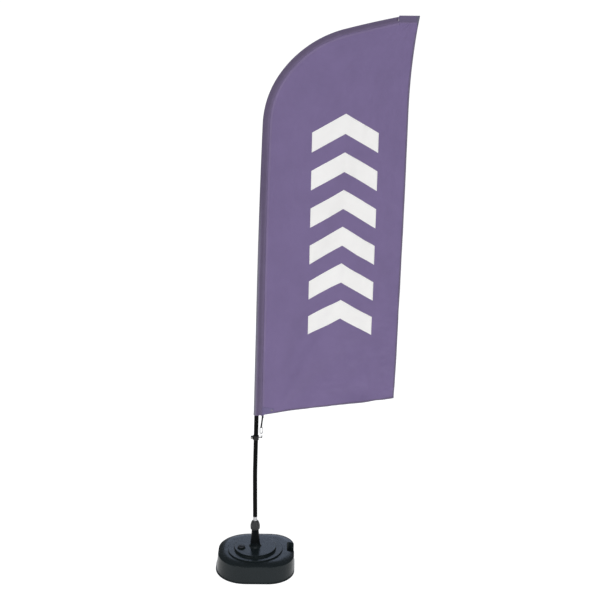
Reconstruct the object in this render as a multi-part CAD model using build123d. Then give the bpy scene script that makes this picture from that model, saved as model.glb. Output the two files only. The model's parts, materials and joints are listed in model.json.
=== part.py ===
"""Feather flag on a flexed pole, standing in a water-filled base.

Millimetres. The origin is at the centre of the base on the floor, +Z is up, and the flag flies
towards +X in the XZ plane. Each named piece is written to parts/NAME.step.
"""

import os
from math import asin, atan2, cos, degrees, hypot, pi, radians, sin

from build123d import *

# ---- water base ----
BASE_WIDTH = 452.0
BASE_DEPTH = 414.0
LEFT_CORNER = 180.0
RIGHT_CORNER = 150.0
LIP_OUT = 3.0
LIP_HEIGHT = 6.0
CREASE_HEIGHT = 100.0
CREASE_INSET = 5.0
CREASE_SHIFT = (6.0, 5.0)
CREASE_ROUND = 3.5
SHOULDER_INSET = 34.0
SHOULDER_SHIFT = (3.0, 3.5)
SHOULDER_HEIGHT = 111.0
SHOULDER_ROUND = 130.0
OUTER_STEP_RADIUS = 159.0
OUTER_STEP_HEIGHT = 118.0
INNER_STEP_RADIUS = 121.0
INNER_STEP_HEIGHT = 131.0
STEP_ROUND = 2.0
TANK_WALL = 3.0
COLUMN_RADIUS = 18.0
WATER_GAP = 0.5
WATER_LEVEL = 104.0
NECK_FOOT_RADIUS = 28.5
NECK_TOP_RADIUS = 21.0
NECK_TOP = 250.0
NECK_CONE_FOOT = 238.0
GRIP_CENTRE_Y = 32.0
GRIP_LENGTH = 112.0
GRIP_REACH = 42.0
GRIP_DEPTH = 44.0
FILLER_X = -79.0
FILLER_Y = -20.0
FILLER_HOLE_RADIUS = 16.0
FILLER_BOSS_RADIUS = 25.0
FILLER_BOSS_TOP = 134.0
GASKET_THICKNESS = 1.5
CAP_RADIUS = 21.0
CAP_DISC_TOP = FILLER_BOSS_TOP + 6.0
CAP_BAR_LENGTH = 34.0
CAP_BAR_WIDTH = 8.0
CAP_BAR_HEIGHT = 3.0
CAP_STEM_DEPTH = 11.0
CAP_STEM_GAP = 0.35
CAP_STEM_WALL = 2.65
CAP_NOTCH_RADIUS = 1.2
CAP_NOTCHES = 24

# ---- spigot and its bearings ----
HOUSING_RADIUS = 12.0
HOUSING_BORE = 10.5
HOUSING_BOTTOM = 30.0
HOUSING_TOP = 303.6
NECK_BORE_RADIUS = 12.1
SHAFT_RADIUS = 6.0
SHAFT_COLLAR_RADIUS = 7.5
SHAFT_BOTTOM = 172.0
FLANGE_RADIUS = 12.5
FLANGE_BOTTOM = 304.4
POLE_FOOT = 312.0
FLANGE_TOP = 320.0
SPIGOT_RADIUS = 10.95
SPIGOT_TOP = 518.0
O_RING_HEIGHTS = (350.0, 480.0)
O_RING_GROOVE = 9.65
O_RING_WIRE = 0.62
BEARING_WIDTH = 5.0
LOWER_BEARING = 180.0
UPPER_BEARING = 284.0
BALL_PITCH_RADIUS = 8.25
BALL_RADIUS = 1.19
BALL_COUNT = 14
RACE_LAND = 0.95

# ---- locking nut and collet ----
NUT_BOTTOM = 241.0
NUT_TOP = 296.0
NUT_RADIUS = 27.5
NUT_FLUTES = 12
COLLET_TOP_RADIUS = 18.0

# ---- pole: one centreline of straight runs and arcs, bending towards +X ----
FOOT_RUN = 228.0
ROOT_BEND = 4000.0
LEAN = 1.5
STRAIGHT_RUN = 1000.0
SLOW_BEND = 49000.0
SLOW_BEND_END = 2.6
HEAD_BEND = 467.0
HEAD_BEND_END = 35.0
CROWN_BEND = 572.0
CROWN_BEND_END = 75.5
TIP_BEND = 4830.0
TIP_BEND_END = 78.5
TIP_RUN = 24.0
LOWER_TUBE_RADIUS = 12.5
LOWER_TUBE_BORE = 11.0
LOWER_TUBE_LENGTH = 1100.0
MIDDLE_TUBE_RADIUS = 10.95
MIDDLE_TUBE_BORE = 9.7
MIDDLE_TUBE_START = 980.0
MIDDLE_TUBE_END = 2080.0
ROD_START = 1965.0
ROD_RADIUS = 6.0
ROD_TIP_RADIUS = 3.0
RIVET_RADIUS = 2.0

# ---- flag ----
SLEEVE_BOTTOM = 639.0
SLEEVE_NOSE = 15.0
SLEEVE_NOSE_CENTRE = -1.0
SLEEVE_SEAM = 22.0
SLEEVE_WALL = 1.2
CLOTH = 1.2
PATCH = 0.6
EYELET_X = 95.0
EYELET_Z = 978.0
EYELET_BARREL = 3.2
EYELET_RIM = 5.0
FLY_TOP = (846.0, 3140.0)
FLY_UPPER_MIDDLE = (818.0, 2925.0)
FLY_SHOULDER = (804.0, 2653.0)
FLY_MIDDLE = (797.0, 2023.0)
FLY_BOTTOM = (778.0, 1055.0)
FOOT_EDGE_MIDDLE = (400.0, 1008.0)
TACK_CORNER = (46.0, 945.5)
TACK_CHAMFER = (56.0, 953.0)

# ---- tension clamp, link and snap hook ----
CLAMP_STATION = 501.0
CLAMP_HALF_HEIGHT = 13.0
CLAMP_RADIUS = 16.5
CLAMP_BORE = 12.55
CLAMP_SLOT = 3.0
EAR_REACH = 29.0
EAR_HALF_HEIGHT = 8.5
EAR_THICKNESS = 5.0
EAR_SCREW_REACH = 22.5
EAR_FACE = CLAMP_SLOT / 2 + EAR_THICKNESS
SCREW_RADIUS = 2.5
SCREW_HEAD_RADIUS = 4.4
HORN_RADIUS = 2.6
HORN_REACH = 36.0
HORN_RISE = 9.0
LINK_X = 36.0
LINK_WIRE = 1.1
LINK_HALF_WIDTH = 6.6
HOOK_WIRE = 1.5
HOOK_HALF_WIDTH = 7.0
HOOK_CORNER = 2.8
HOOK_BOTTOM = 836.6
HOOK_TOP = 876.0
GATE_WIRE = 1.2
GATE_FOOT = 848.0
GATE_HEAD = 866.0
GATE_PIN_RADIUS = 0.6
STRAP_WIDTH = 10.0
STRAP_THICKNESS = 2.0

os.makedirs("parts", exist_ok=True)


def save(shape, name):
    """Writes one sub-part, with all its solids."""
    shape.label = name
    export_step(shape, f"parts/{name}.step")


def tube(outer, inner, bottom, top):
    """A ring or tube standing on +Z between two heights."""
    ring = Circle(outer) - Circle(inner)
    return Pos(0, 0, bottom) * extrude(ring, top - bottom)


def rod(radius, bottom, top):
    """A round bar standing on +Z between two heights."""
    return Pos(0, 0, bottom) * extrude(Circle(radius), top - bottom)


def turned(points):
    """A solid of revolution about Z from (radius, height) points."""
    return revolve(Plane.XZ * Polygon(*points, align=None), Axis.Z)


# ================= the pole's centreline =================


def make_centreline():
    """Segments of the centreline: start, heading in degrees, length, radius (None for a straight run)."""
    runs = [
        (None, FOOT_RUN),
        (ROOT_BEND, LEAN),
        (None, STRAIGHT_RUN),
        (SLOW_BEND, SLOW_BEND_END),
        (HEAD_BEND, HEAD_BEND_END),
        (CROWN_BEND, CROWN_BEND_END),
        (TIP_BEND, TIP_BEND_END),
        (None, TIP_RUN),
    ]
    segments = []
    x, z, heading = 0.0, POLE_FOOT, 0.0
    for radius, value in runs:
        length = value if radius is None else radius * radians(value - heading)
        segments.append((x, z, heading, length, radius))
        x, z, heading = along(segments[-1], length)
    return segments


def along(segment, distance):
    """The point and heading at a distance along one segment."""
    x, z, heading, _, radius = segment
    start = radians(heading)
    if radius is None:
        return x + distance * sin(start), z + distance * cos(start), heading
    end = start + distance / radius
    x += radius * (cos(start) - cos(end))
    z += radius * (sin(end) - sin(start))
    return x, z, degrees(end)


CENTRELINE = make_centreline()
POLE_LENGTH = sum(segment[3] for segment in CENTRELINE)


def pieces_between(start, end):
    """The parts of the centreline's segments between two distances from the pole's foot."""
    found = []
    passed = 0.0
    for segment in CENTRELINE:
        length, radius = segment[3], segment[4]
        first = max(start - passed, 0.0)
        last = min(end - passed, length)
        if last - first > 1e-6:
            x, z, heading = along(segment, first)
            found.append((x, z, heading, last - first, radius))
        passed += length
    return found


def across(x, z, heading):
    """The plane across the pole at a point: local X points to the flag's fly, local Z up the pole."""
    angle = radians(heading)
    return Plane(
        origin=(x, 0, z),
        x_dir=(cos(angle), 0, -sin(angle)),
        z_dir=(sin(angle), 0, cos(angle)),
    )


def station(distance):
    """The plane across the pole at a distance from its foot."""
    left = distance
    for segment in CENTRELINE:
        if left <= segment[3]:
            return across(*along(segment, left))
        left -= segment[3]
    return across(*along(CENTRELINE[-1], CENTRELINE[-1][3]))


def swept(section, start, end):
    """A cross-section carried along the centreline, exactly, as extrusions and revolutions."""
    solids = []
    for x, z, heading, length, radius in pieces_between(start, end):
        plane = across(x, z, heading)
        face = plane * section
        if radius is None:
            solids.append(extrude(face, length, dir=plane.z_dir))
        else:
            centre = plane.origin + plane.x_dir * radius
            turn = degrees(length / radius)
            solids.append(revolve(face, Axis(centre, (0, 1, 0)), turn))
    whole = solids[0]
    for solid in solids[1:]:
        whole += solid
    return whole


def offset_edges(start, end, offset):
    """Edges beside the centreline, offset towards the fly, in the XZ plane."""
    edges = []
    for segment in pieces_between(start, end):
        points = []
        for share in (0.0, 0.5, 1.0):
            x, z, heading = along(segment, share * segment[3])
            angle = radians(heading)
            points.append((x + offset * cos(angle), 0, z - offset * sin(angle)))
        if segment[4] is None:
            edges.append(Line(points[0], points[2]))
        else:
            edges.append(ThreePointArc(*points))
    return edges


# ================= water base =================


def outline(inset, height, shift=(0.0, 0.0)):
    """The base's plan shape at a height: a rectangle with wide round corners, wider on the left."""
    plan = Rectangle(BASE_WIDTH - 2 * inset, BASE_DEPTH - 2 * inset)
    corners = plan.vertices().sort_by(Axis.X)
    left = [(vertex.X, vertex.Y) for vertex in corners[:2]]
    plan = fillet(corners[2:], RIGHT_CORNER - inset)
    left_corners = [vertex for vertex in plan.vertices() if (vertex.X, vertex.Y) in left]
    plan = fillet(left_corners, LEFT_CORNER - inset)
    return Pos(shift[0], shift[1], height) * plan


def tank_body(gap):
    """The tank's outer form, drawn in by a gap on every side."""
    foot = outline(gap, gap)
    crease = outline(CREASE_INSET + gap, CREASE_HEIGHT - gap, CREASE_SHIFT)
    shoulder = outline(SHOULDER_INSET + gap, SHOULDER_HEIGHT - gap, SHOULDER_SHIFT)
    body = loft([foot, crease]) + loft([crease, shoulder])
    top = SHOULDER_HEIGHT - gap
    body = rounded(body, top - 1, top + 1, SHOULDER_ROUND)
    body += rod(OUTER_STEP_RADIUS - gap, CREASE_HEIGHT - gap, OUTER_STEP_HEIGHT - gap)
    body += rod(INNER_STEP_RADIUS - gap, CREASE_HEIGHT - gap, INNER_STEP_HEIGHT - gap)
    return body


def rounded(body, low, high, radius):
    """The body with its edges that lie between two heights rounded."""
    edges = body.edges().filter_by(lambda edge: low < edge.center().Z < high)
    flat = [edge for edge in edges if edge.bounding_box().size.Z < 0.01]
    return fillet(flat, radius)


def grip_pocket(gap):
    """The finger recess at the right edge, open to the top and to the side."""
    left = BASE_WIDTH / 2 - GRIP_REACH - gap
    right = BASE_WIDTH / 2 + 20.0
    block = Box(
        right - left,
        GRIP_LENGTH + 2 * gap,
        80.0,
        align=(Align.MIN, Align.CENTER, Align.MIN),
    )
    pocket = fillet(block.edges().filter_by(Axis.Z).sort_by(Axis.X)[:2], 12.0)
    return Pos(left, GRIP_CENTRE_Y, CREASE_HEIGHT - GRIP_DEPTH - gap) * pocket


def make_water_tank():
    body = tank_body(0.0)
    body = rounded(body, CREASE_HEIGHT - 1, CREASE_HEIGHT + 1, CREASE_ROUND)
    body = rounded(body, OUTER_STEP_HEIGHT - 1, OUTER_STEP_HEIGHT + 1, STEP_ROUND)
    body = rounded(body, INNER_STEP_HEIGHT - 1, INNER_STEP_HEIGHT + 1, STEP_ROUND)
    body += extrude(outline(-LIP_OUT, 0.0), LIP_HEIGHT)
    neck = turned(
        [
            (0, INNER_STEP_HEIGHT - 20),
            (NECK_FOOT_RADIUS + 8, INNER_STEP_HEIGHT - 20),
            (NECK_FOOT_RADIUS + 8, INNER_STEP_HEIGHT),
            (NECK_FOOT_RADIUS, INNER_STEP_HEIGHT + 7),
            (NECK_TOP_RADIUS, NECK_TOP - 22),
            (NECK_TOP_RADIUS, NECK_TOP),
            (0, NECK_TOP),
        ]
    )
    body += neck
    boss = rod(FILLER_BOSS_RADIUS, INNER_STEP_HEIGHT - 10, FILLER_BOSS_TOP)
    body += Pos(FILLER_X, FILLER_Y, 0) * boss

    cavity = tank_body(TANK_WALL)
    cavity -= rod(COLUMN_RADIUS, 0, INNER_STEP_HEIGHT)
    cavity -= grip_pocket(TANK_WALL)
    body -= cavity
    body -= grip_pocket(0.0)
    body -= rod(NECK_BORE_RADIUS, HOUSING_BOTTOM, NECK_TOP + 1)
    seat = turned(
        [
            (0, NECK_CONE_FOOT),
            (NECK_BORE_RADIUS, NECK_CONE_FOOT),
            (NECK_BORE_RADIUS + 3.2, NECK_TOP),
            (0, NECK_TOP),
        ]
    )
    body -= seat
    hole = rod(FILLER_HOLE_RADIUS, INNER_STEP_HEIGHT - 12, FILLER_BOSS_TOP + 1)
    body -= Pos(FILLER_X, FILLER_Y, 0) * hole
    return body


def make_water_ballast():
    gap = TANK_WALL + WATER_GAP
    water = tank_body(gap)
    water -= rod(COLUMN_RADIUS + WATER_GAP, 0, INNER_STEP_HEIGHT + 1)
    water -= grip_pocket(gap)
    above = Pos(0, 0, WATER_LEVEL) * Box(
        500, 500, 60, align=(Align.CENTER, Align.CENTER, Align.MIN)
    )
    return water - above


def make_filler_cap():
    seat = FILLER_BOSS_TOP + GASKET_THICKNESS
    cap = rod(CAP_RADIUS, seat, CAP_DISC_TOP)
    cap = chamfer(cap.edges().group_by(Axis.Z)[-1], 1.5)
    bar = Box(
        CAP_BAR_LENGTH,
        CAP_BAR_WIDTH,
        CAP_BAR_HEIGHT,
        align=(Align.CENTER, Align.CENTER, Align.MIN),
    )
    bar = fillet(bar.edges().filter_by(Axis.Z), CAP_BAR_WIDTH / 2 - 0.5)
    cap += Pos(0, 0, CAP_DISC_TOP) * bar
    stem = FILLER_HOLE_RADIUS - CAP_STEM_GAP
    cap += tube(stem, stem - CAP_STEM_WALL, FILLER_BOSS_TOP - CAP_STEM_DEPTH, seat)
    for index in range(CAP_NOTCHES):
        angle = 2 * pi * index / CAP_NOTCHES
        reach = CAP_RADIUS + CAP_NOTCH_RADIUS / 2
        notch = rod(CAP_NOTCH_RADIUS, FILLER_BOSS_TOP, CAP_DISC_TOP + 1)
        cap -= Pos(reach * cos(angle), reach * sin(angle), 0) * notch
    return Pos(FILLER_X, FILLER_Y, 0) * cap


def make_cap_gasket():
    seat = FILLER_BOSS_TOP + GASKET_THICKNESS
    ring = tube(CAP_RADIUS - 1.5, FILLER_HOLE_RADIUS + 0.1, FILLER_BOSS_TOP, seat)
    return Pos(FILLER_X, FILLER_Y, 0) * ring


# ================= spigot, bearings, nut =================


def make_race(low_radius, high_radius, bottom):
    """A bearing ring with its ball groove."""
    ring = tube(high_radius, low_radius, bottom, bottom + BEARING_WIDTH)
    groove = Pos(0, 0, bottom + BEARING_WIDTH / 2) * Torus(BALL_PITCH_RADIUS, BALL_RADIUS + 0.04)
    return ring - groove


def ball_places(bottom):
    """Where the balls of one bearing sit."""
    height = bottom + BEARING_WIDTH / 2
    for index in range(BALL_COUNT):
        angle = 2 * pi * index / BALL_COUNT
        yield Pos(BALL_PITCH_RADIUS * cos(angle), BALL_PITCH_RADIUS * sin(angle), height)


def make_balls(bottom):
    return Compound(children=[place * Sphere(BALL_RADIUS) for place in ball_places(bottom)])


def make_cage(bottom):
    middle = bottom + BEARING_WIDTH / 2
    cage = tube(BALL_PITCH_RADIUS + 0.5, BALL_PITCH_RADIUS - 0.5, middle - 1.6, middle + 1.6)
    for index in range(BALL_COUNT):
        pocket = Pos(BALL_PITCH_RADIUS, 0, middle) * Rot(0, 90, 0) * Cylinder(BALL_RADIUS + 0.08, 3)
        cage -= Rot(0, 0, 360 * index / BALL_COUNT) * pocket
    return cage


def make_spigot_shaft():
    shaft = turned(
        [
            (0, SHAFT_BOTTOM),
            (SHAFT_RADIUS - 0.8, SHAFT_BOTTOM),
            (SHAFT_RADIUS, SHAFT_BOTTOM + 0.8),
            (SHAFT_RADIUS, LOWER_BEARING - 2.2),
            (SHAFT_RADIUS - 0.6, LOWER_BEARING - 2.2),
            (SHAFT_RADIUS - 0.6, LOWER_BEARING - 1.0),
            (SHAFT_RADIUS, LOWER_BEARING - 1.0),
            (SHAFT_RADIUS, UPPER_BEARING + BEARING_WIDTH),
            (SHAFT_COLLAR_RADIUS, UPPER_BEARING + BEARING_WIDTH),
            (SHAFT_COLLAR_RADIUS, FLANGE_BOTTOM),
            (FLANGE_RADIUS - 0.6, FLANGE_BOTTOM),
            (FLANGE_RADIUS, FLANGE_BOTTOM + 0.6),
            (FLANGE_RADIUS, FLANGE_TOP - 0.6),
            (FLANGE_RADIUS - 0.6, FLANGE_TOP),
            (SPIGOT_RADIUS, FLANGE_TOP),
            (SPIGOT_RADIUS, SPIGOT_TOP - 12),
            (SPIGOT_RADIUS - 4, SPIGOT_TOP),
            (0, SPIGOT_TOP),
        ]
    )
    for height in O_RING_HEIGHTS:
        shaft -= tube(SPIGOT_RADIUS + 1, O_RING_GROOVE, height - 1.2, height + 1.2)
    return shaft


def make_o_rings():
    return Compound(
        children=[
            Pos(0, 0, height) * Torus(O_RING_GROOVE + O_RING_WIRE + 0.04, O_RING_WIRE)
            for height in O_RING_HEIGHTS
        ]
    )


def make_circlip():
    ring = tube(SHAFT_RADIUS + 1.6, SHAFT_RADIUS - 0.5, LOWER_BEARING - 2.1, LOWER_BEARING - 1.1)
    gap = Pos(SHAFT_RADIUS + 2, 0, LOWER_BEARING - 1.6) * Box(6, 3, 3)
    return ring - gap


def make_neck_collet():
    """The wedge that grips the spigot housing when the nut pushes it into the neck's cone."""
    bore = HOUSING_RADIUS + 0.12
    collet = turned(
        [
            (bore, NECK_CONE_FOOT + 2.4),
            (NECK_BORE_RADIUS + 0.35, NECK_CONE_FOOT + 2.4),
            (NECK_BORE_RADIUS + 2.75, NECK_TOP + 0.4),
            (COLLET_TOP_RADIUS, NECK_TOP + 0.4),
            (COLLET_TOP_RADIUS, NECK_TOP + 5),
            (bore, NECK_TOP + 5),
        ]
    )
    for index in range(4):
        slot = Box(1.2, 60, 9.0, align=(Align.CENTER, Align.MIN, Align.MIN))
        collet -= Rot(0, 0, 45 + 90 * index) * Pos(0, 0, NECK_CONE_FOOT) * slot
    return collet


def make_locking_nut():
    """The fluted bulb that screws down on the neck."""
    outer = turned(
        [
            (0, NUT_BOTTOM),
            (NUT_RADIUS - 3.5, NUT_BOTTOM),
            (NUT_RADIUS - 1, NUT_BOTTOM + 3),
            (NUT_RADIUS, NUT_BOTTOM + 12),
            (NUT_RADIUS, NUT_BOTTOM + 24),
            (NUT_RADIUS - 2.5, NUT_BOTTOM + 36),
            (NUT_RADIUS - 7, NUT_BOTTOM + 48),
            (NUT_RADIUS - 11, NUT_TOP - 4),
            (NUT_RADIUS - 13, NUT_TOP),
            (0, NUT_TOP),
        ]
    )
    for index in range(NUT_FLUTES):
        angle = 360 / NUT_FLUTES * index
        flute = Pos(NUT_RADIUS + 2.2, 0, NUT_BOTTOM - 1) * extrude(Circle(4.0), 44)
        outer -= Rot(0, 0, angle) * flute
    chamber = turned(
        [
            (0, NUT_BOTTOM - 1),
            (NECK_TOP_RADIUS + 0.4, NUT_BOTTOM - 1),
            (NECK_TOP_RADIUS + 0.4, NECK_TOP + 5.1),
            (0, NECK_TOP + 5.1),
        ]
    )
    outer -= chamber
    return outer - rod(HOUSING_RADIUS + 0.5, NUT_BOTTOM, NUT_TOP + 1)


# ================= pole =================


def make_pole_lower():
    section = Circle(LOWER_TUBE_RADIUS) - Circle(LOWER_TUBE_BORE)
    wall = swept(section, FLANGE_TOP - POLE_FOOT, LOWER_TUBE_LENGTH)
    pin = station(MIDDLE_TUBE_START - RIVET_RADIUS) * Rot(90, 0, 0) * Cylinder(RIVET_RADIUS, 40)
    return wall - pin


def make_stop_rivet():
    place = station(MIDDLE_TUBE_START - RIVET_RADIUS)
    return place * Rot(90, 0, 0) * Cylinder(RIVET_RADIUS - 0.02, 2 * LOWER_TUBE_RADIUS - 0.4)


def make_pole_middle():
    section = Circle(MIDDLE_TUBE_RADIUS) - Circle(MIDDLE_TUBE_BORE)
    return swept(section, MIDDLE_TUBE_START + 0.3, MIDDLE_TUBE_END)


def make_tip_ferrule():
    inner = ROD_RADIUS + 0.05
    bush = swept(Circle(MIDDLE_TUBE_BORE - 0.05) - Circle(inner), MIDDLE_TUBE_END - 100, MIDDLE_TUBE_END)
    collar = swept(Circle(MIDDLE_TUBE_RADIUS) - Circle(inner), MIDDLE_TUBE_END, MIDDLE_TUBE_END + 8)
    return bush + collar


def make_tip_rod():
    """Solid glass-fibre rod, in steps that thin towards the tip."""
    end = POLE_LENGTH - 20.0
    steps = 5
    first = MIDDLE_TUBE_END + 60.0
    whole = swept(Circle(ROD_RADIUS), ROD_START, first)
    for index in range(steps):
        radius = ROD_RADIUS + (ROD_TIP_RADIUS - ROD_RADIUS) * (index + 1) / steps
        start = first + (end - first) * index / steps
        whole += swept(Circle(radius), start, first + (end - first) * (index + 1) / steps)
    return whole


def make_tip_cap():
    start = POLE_LENGTH - 50.0
    end = POLE_LENGTH - 20.0
    wall = swept(Circle(5.0) - Circle(ROD_TIP_RADIUS + 0.02), start, end)
    return wall + swept(Circle(5.0), end, end + 14.0)


# ================= flag =================


def sleeve_outline(nose, seam):
    """A round nose about the pole, with two flat sides running to the seam."""
    reach = seam + 6.0 - SLEEVE_NOSE_CENTRE
    slope = asin(nose / reach)
    touch_x = SLEEVE_NOSE_CENTRE + nose * sin(slope)
    touch_y = nose * cos(slope)
    seam_y = touch_y * (SLEEVE_NOSE_CENTRE + reach - seam) / (SLEEVE_NOSE_CENTRE + reach - touch_x)
    sides = Polygon(
        (touch_x, -touch_y),
        (seam, -seam_y),
        (seam, seam_y),
        (touch_x, touch_y),
        (SLEEVE_NOSE_CENTRE, 0),
        align=None,
    )
    return Pos(SLEEVE_NOSE_CENTRE, 0) * Circle(nose) + sides


def make_pole_sleeve():
    outer = sleeve_outline(SLEEVE_NOSE, SLEEVE_SEAM)
    inner = sleeve_outline(SLEEVE_NOSE - SLEEVE_WALL, SLEEVE_SEAM - 2 * SLEEVE_WALL)
    return swept(outer - inner, SLEEVE_BOTTOM, POLE_LENGTH)


def on_sheet(x, z):
    return (x, 0, z)


def edge_end(distance, offset):
    """A point beside the centreline, offset towards the fly."""
    place = station(distance)
    return place.from_local_coords((offset, 0, 0))


def make_flag_panel():
    tip_inner = edge_end(POLE_LENGTH, SLEEVE_SEAM)
    tip_outer = edge_end(POLE_LENGTH, SLEEVE_NOSE_CENTRE - SLEEVE_NOSE)
    top_left = (tip_outer.X + 6.0, 0, FLY_TOP[1])
    foot_inner = edge_end(SLEEVE_BOTTOM, SLEEVE_SEAM)
    edges = offset_edges(SLEEVE_BOTTOM, POLE_LENGTH, SLEEVE_SEAM)
    edges += [
        Line(tip_inner, tip_outer),
        Line(tip_outer, top_left),
        Line(top_left, on_sheet(*FLY_TOP)),
        ThreePointArc(on_sheet(*FLY_TOP), on_sheet(*FLY_UPPER_MIDDLE), on_sheet(*FLY_SHOULDER)),
        ThreePointArc(on_sheet(*FLY_SHOULDER), on_sheet(*FLY_MIDDLE), on_sheet(*FLY_BOTTOM)),
        ThreePointArc(on_sheet(*FLY_BOTTOM), on_sheet(*FOOT_EDGE_MIDDLE), on_sheet(*TACK_CHAMFER)),
        Line(on_sheet(*TACK_CHAMFER), on_sheet(*TACK_CORNER)),
        Line(on_sheet(*TACK_CORNER), foot_inner),
    ]
    face = Face(Wire(edges))
    return extrude(face, CLOTH / 2, dir=(0, 1, 0), both=True) - eyelet_hole()


def both_faces(outline_points):
    """A pair of thin patches on the two faces of the sheet."""
    face = Face(Wire.make_polygon([on_sheet(*point) for point in outline_points]))
    patch = extrude(face, PATCH, dir=(0, 1, 0)) - eyelet_hole()
    back = Pos(0, CLOTH / 2, 0) * patch
    front = Pos(0, -CLOTH / 2 - PATCH, 0) * patch
    return Compound(children=[front, back])


def make_top_patches():
    tip_inner = edge_end(POLE_LENGTH, SLEEVE_SEAM)
    return both_faces(
        [
            (tip_inner.X + 2, tip_inner.Z + 1),
            (tip_inner.X - 4, FLY_TOP[1] - 2),
            (FLY_TOP[0] - 2, FLY_TOP[1] - 2),
            (FLY_TOP[0] - 9, FLY_TOP[1] - 36),
        ]
    )


def make_tack_patches():
    return both_faces([(36, 948), (45, 948), (58, 956), (108, 966.5), (108, 990), (37, 1000)])


def eyelet_hole():
    return Pos(EYELET_X, 0, EYELET_Z) * Rot(90, 0, 0) * Cylinder(EYELET_BARREL, 20)


def make_eyelet():
    """Brass eyelet through the tack corner, its rim turned over on both faces."""
    face = CLOTH / 2 + PATCH
    barrel = Cylinder(EYELET_BARREL - 0.02, 2 * face)
    rim = Cylinder(EYELET_RIM, 0.5)
    eyelet = barrel + Pos(0, 0, face + 0.25) * rim + Pos(0, 0, -face - 0.25) * rim
    eyelet -= Cylinder(EYELET_BARREL - 0.7, 20)
    return Pos(EYELET_X, 0, EYELET_Z) * Rot(90, 0, 0) * eyelet


# ================= tension strap, link and clamp =================


def make_strap_tab():
    """Webbing sewn to the back of the tack corner, that hangs below the hem."""
    tab = Box(STRAP_WIDTH, STRAP_THICKNESS, 32, align=(Align.CENTER, Align.CENTER, Align.MIN))
    return Pos(*strap_ends()[0]) * tab


def strap_ends():
    top = Vector(44, CLOTH / 2 + PATCH + STRAP_THICKNESS / 2, 936)
    bottom = Vector(LINK_X, 0, HOOK_TOP + 8)
    return top, bottom


def make_elastic_strap():
    top, bottom = strap_ends()
    half_x = Vector(STRAP_WIDTH / 2, 0, 0)
    half_y = Vector(0, STRAP_THICKNESS / 2, 0)
    ends = []
    for point in (bottom, top):
        corners = [
            point - half_x - half_y,
            point + half_x - half_y,
            point + half_x + half_y,
            point - half_x + half_y,
        ]
        ends.append(Face(Wire.make_polygon(corners)))
    return loft(ends)


def make_strap_loop():
    """The strap's lower end, folded round the snap hook's top bow and sewn to itself."""
    wire_z = HOOK_TOP - HOOK_WIRE
    inner = HOOK_WIRE + 0.3
    ring = Plane.YZ * (Circle(inner + STRAP_THICKNESS / 2) - Circle(inner))
    loop = Pos(LINK_X, 0, wire_z) * extrude(ring, STRAP_WIDTH / 2 - 1.0, both=True)
    stem_foot = wire_z + inner + 0.2
    stem = Box(
        STRAP_WIDTH - 2.0,
        STRAP_THICKNESS,
        HOOK_TOP + 8 - stem_foot,
        align=(Align.CENTER, Align.CENTER, Align.MIN),
    )
    return loop + Pos(LINK_X, 0, stem_foot) * stem


def wire_loop(half_width, bottom, top, wire, top_corner, turn):
    """A closed loop of round wire in a plane turned about Z: a round bow below, two corners above."""
    low = bottom + wire + half_width
    high = top - wire - top_corner
    bar = half_width - top_corner
    bow = revolve(Pos(half_width, 0) * Circle(wire), Axis((0, 0, 0), (0, 1, 0)), 180)
    solid = Pos(0, 0, low) * bow
    for side in (-1, 1):
        solid += tube_between((side * half_width, low), (side * half_width, high), wire)
        section = Pos(side * top_corner, 0) * Circle(wire)
        corner = revolve(section, Axis((0, 0, 0), (0, -side, 0)), 90)
        solid += Pos(side * bar, 0, high) * corner
    if bar > 0:
        solid += tube_between((-bar, high + top_corner), (bar, high + top_corner), wire)
    return Pos(LINK_X, 0, 0) * Rot(0, 0, turn) * solid


def tube_between(start, end, wire):
    """A round wire between two points of the XZ plane."""
    length = hypot(end[0] - start[0], end[1] - start[1])
    lean = degrees(atan2(end[0] - start[0], end[1] - start[1]))
    bar = extrude(Circle(wire), length)
    return Pos(start[0], 0, start[1]) * Rot(0, lean, 0) * bar


def make_link():
    horn_z = horn_axis_height()
    bottom = horn_z - HORN_RADIUS - 0.3 - 2 * LINK_WIRE
    top = HOOK_BOTTOM + 2 * HOOK_WIRE + 0.3 + 2 * LINK_WIRE
    return wire_loop(LINK_HALF_WIDTH, bottom, top, LINK_WIRE, LINK_HALF_WIDTH, 45)


def horn_axis_height():
    return edge_end(CLAMP_STATION, HORN_REACH).Z + 2.0


def make_snap_hook_body():
    """An oval wire hook with its right side left open for the gate."""
    loop = wire_loop(HOOK_HALF_WIDTH, HOOK_BOTTOM, HOOK_TOP, HOOK_WIRE, HOOK_CORNER, 0)
    opening = Pos(LINK_X + HOOK_HALF_WIDTH, 0, (GATE_FOOT + GATE_HEAD) / 2) * Box(
        6, 6, GATE_HEAD - GATE_FOOT + 3
    )
    body = loop - opening
    foot = Pos(LINK_X + HOOK_HALF_WIDTH, 0, GATE_FOOT) * Rot(90, 0, 0) * Cylinder(1.7, 5.0)
    body += foot + Pos(LINK_X + HOOK_HALF_WIDTH, 0, GATE_FOOT - 1.8) * Cylinder(1.7, 2.0)
    throat = Pos(LINK_X + HOOK_HALF_WIDTH, 0, GATE_FOOT + 0.6) * Box(5.0, 2.6, 5.0)
    body -= throat
    pin_hole = Rot(90, 0, 0) * Cylinder(GATE_PIN_RADIUS, 12)
    return body - Pos(LINK_X + HOOK_HALF_WIDTH, 0, GATE_FOOT) * pin_hole


def make_gate():
    """The spring gate, turning on its pin at the bottom."""
    eye = Rot(90, 0, 0) * Cylinder(1.5, 2.0)
    stem = extrude(Circle(GATE_WIRE - 0.2), GATE_HEAD - GATE_FOOT + 0.9)
    hole = Rot(90, 0, 0) * Cylinder(GATE_PIN_RADIUS + 0.05, 10)
    return Pos(LINK_X + HOOK_HALF_WIDTH, 0, GATE_FOOT) * (eye + stem - hole)


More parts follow.
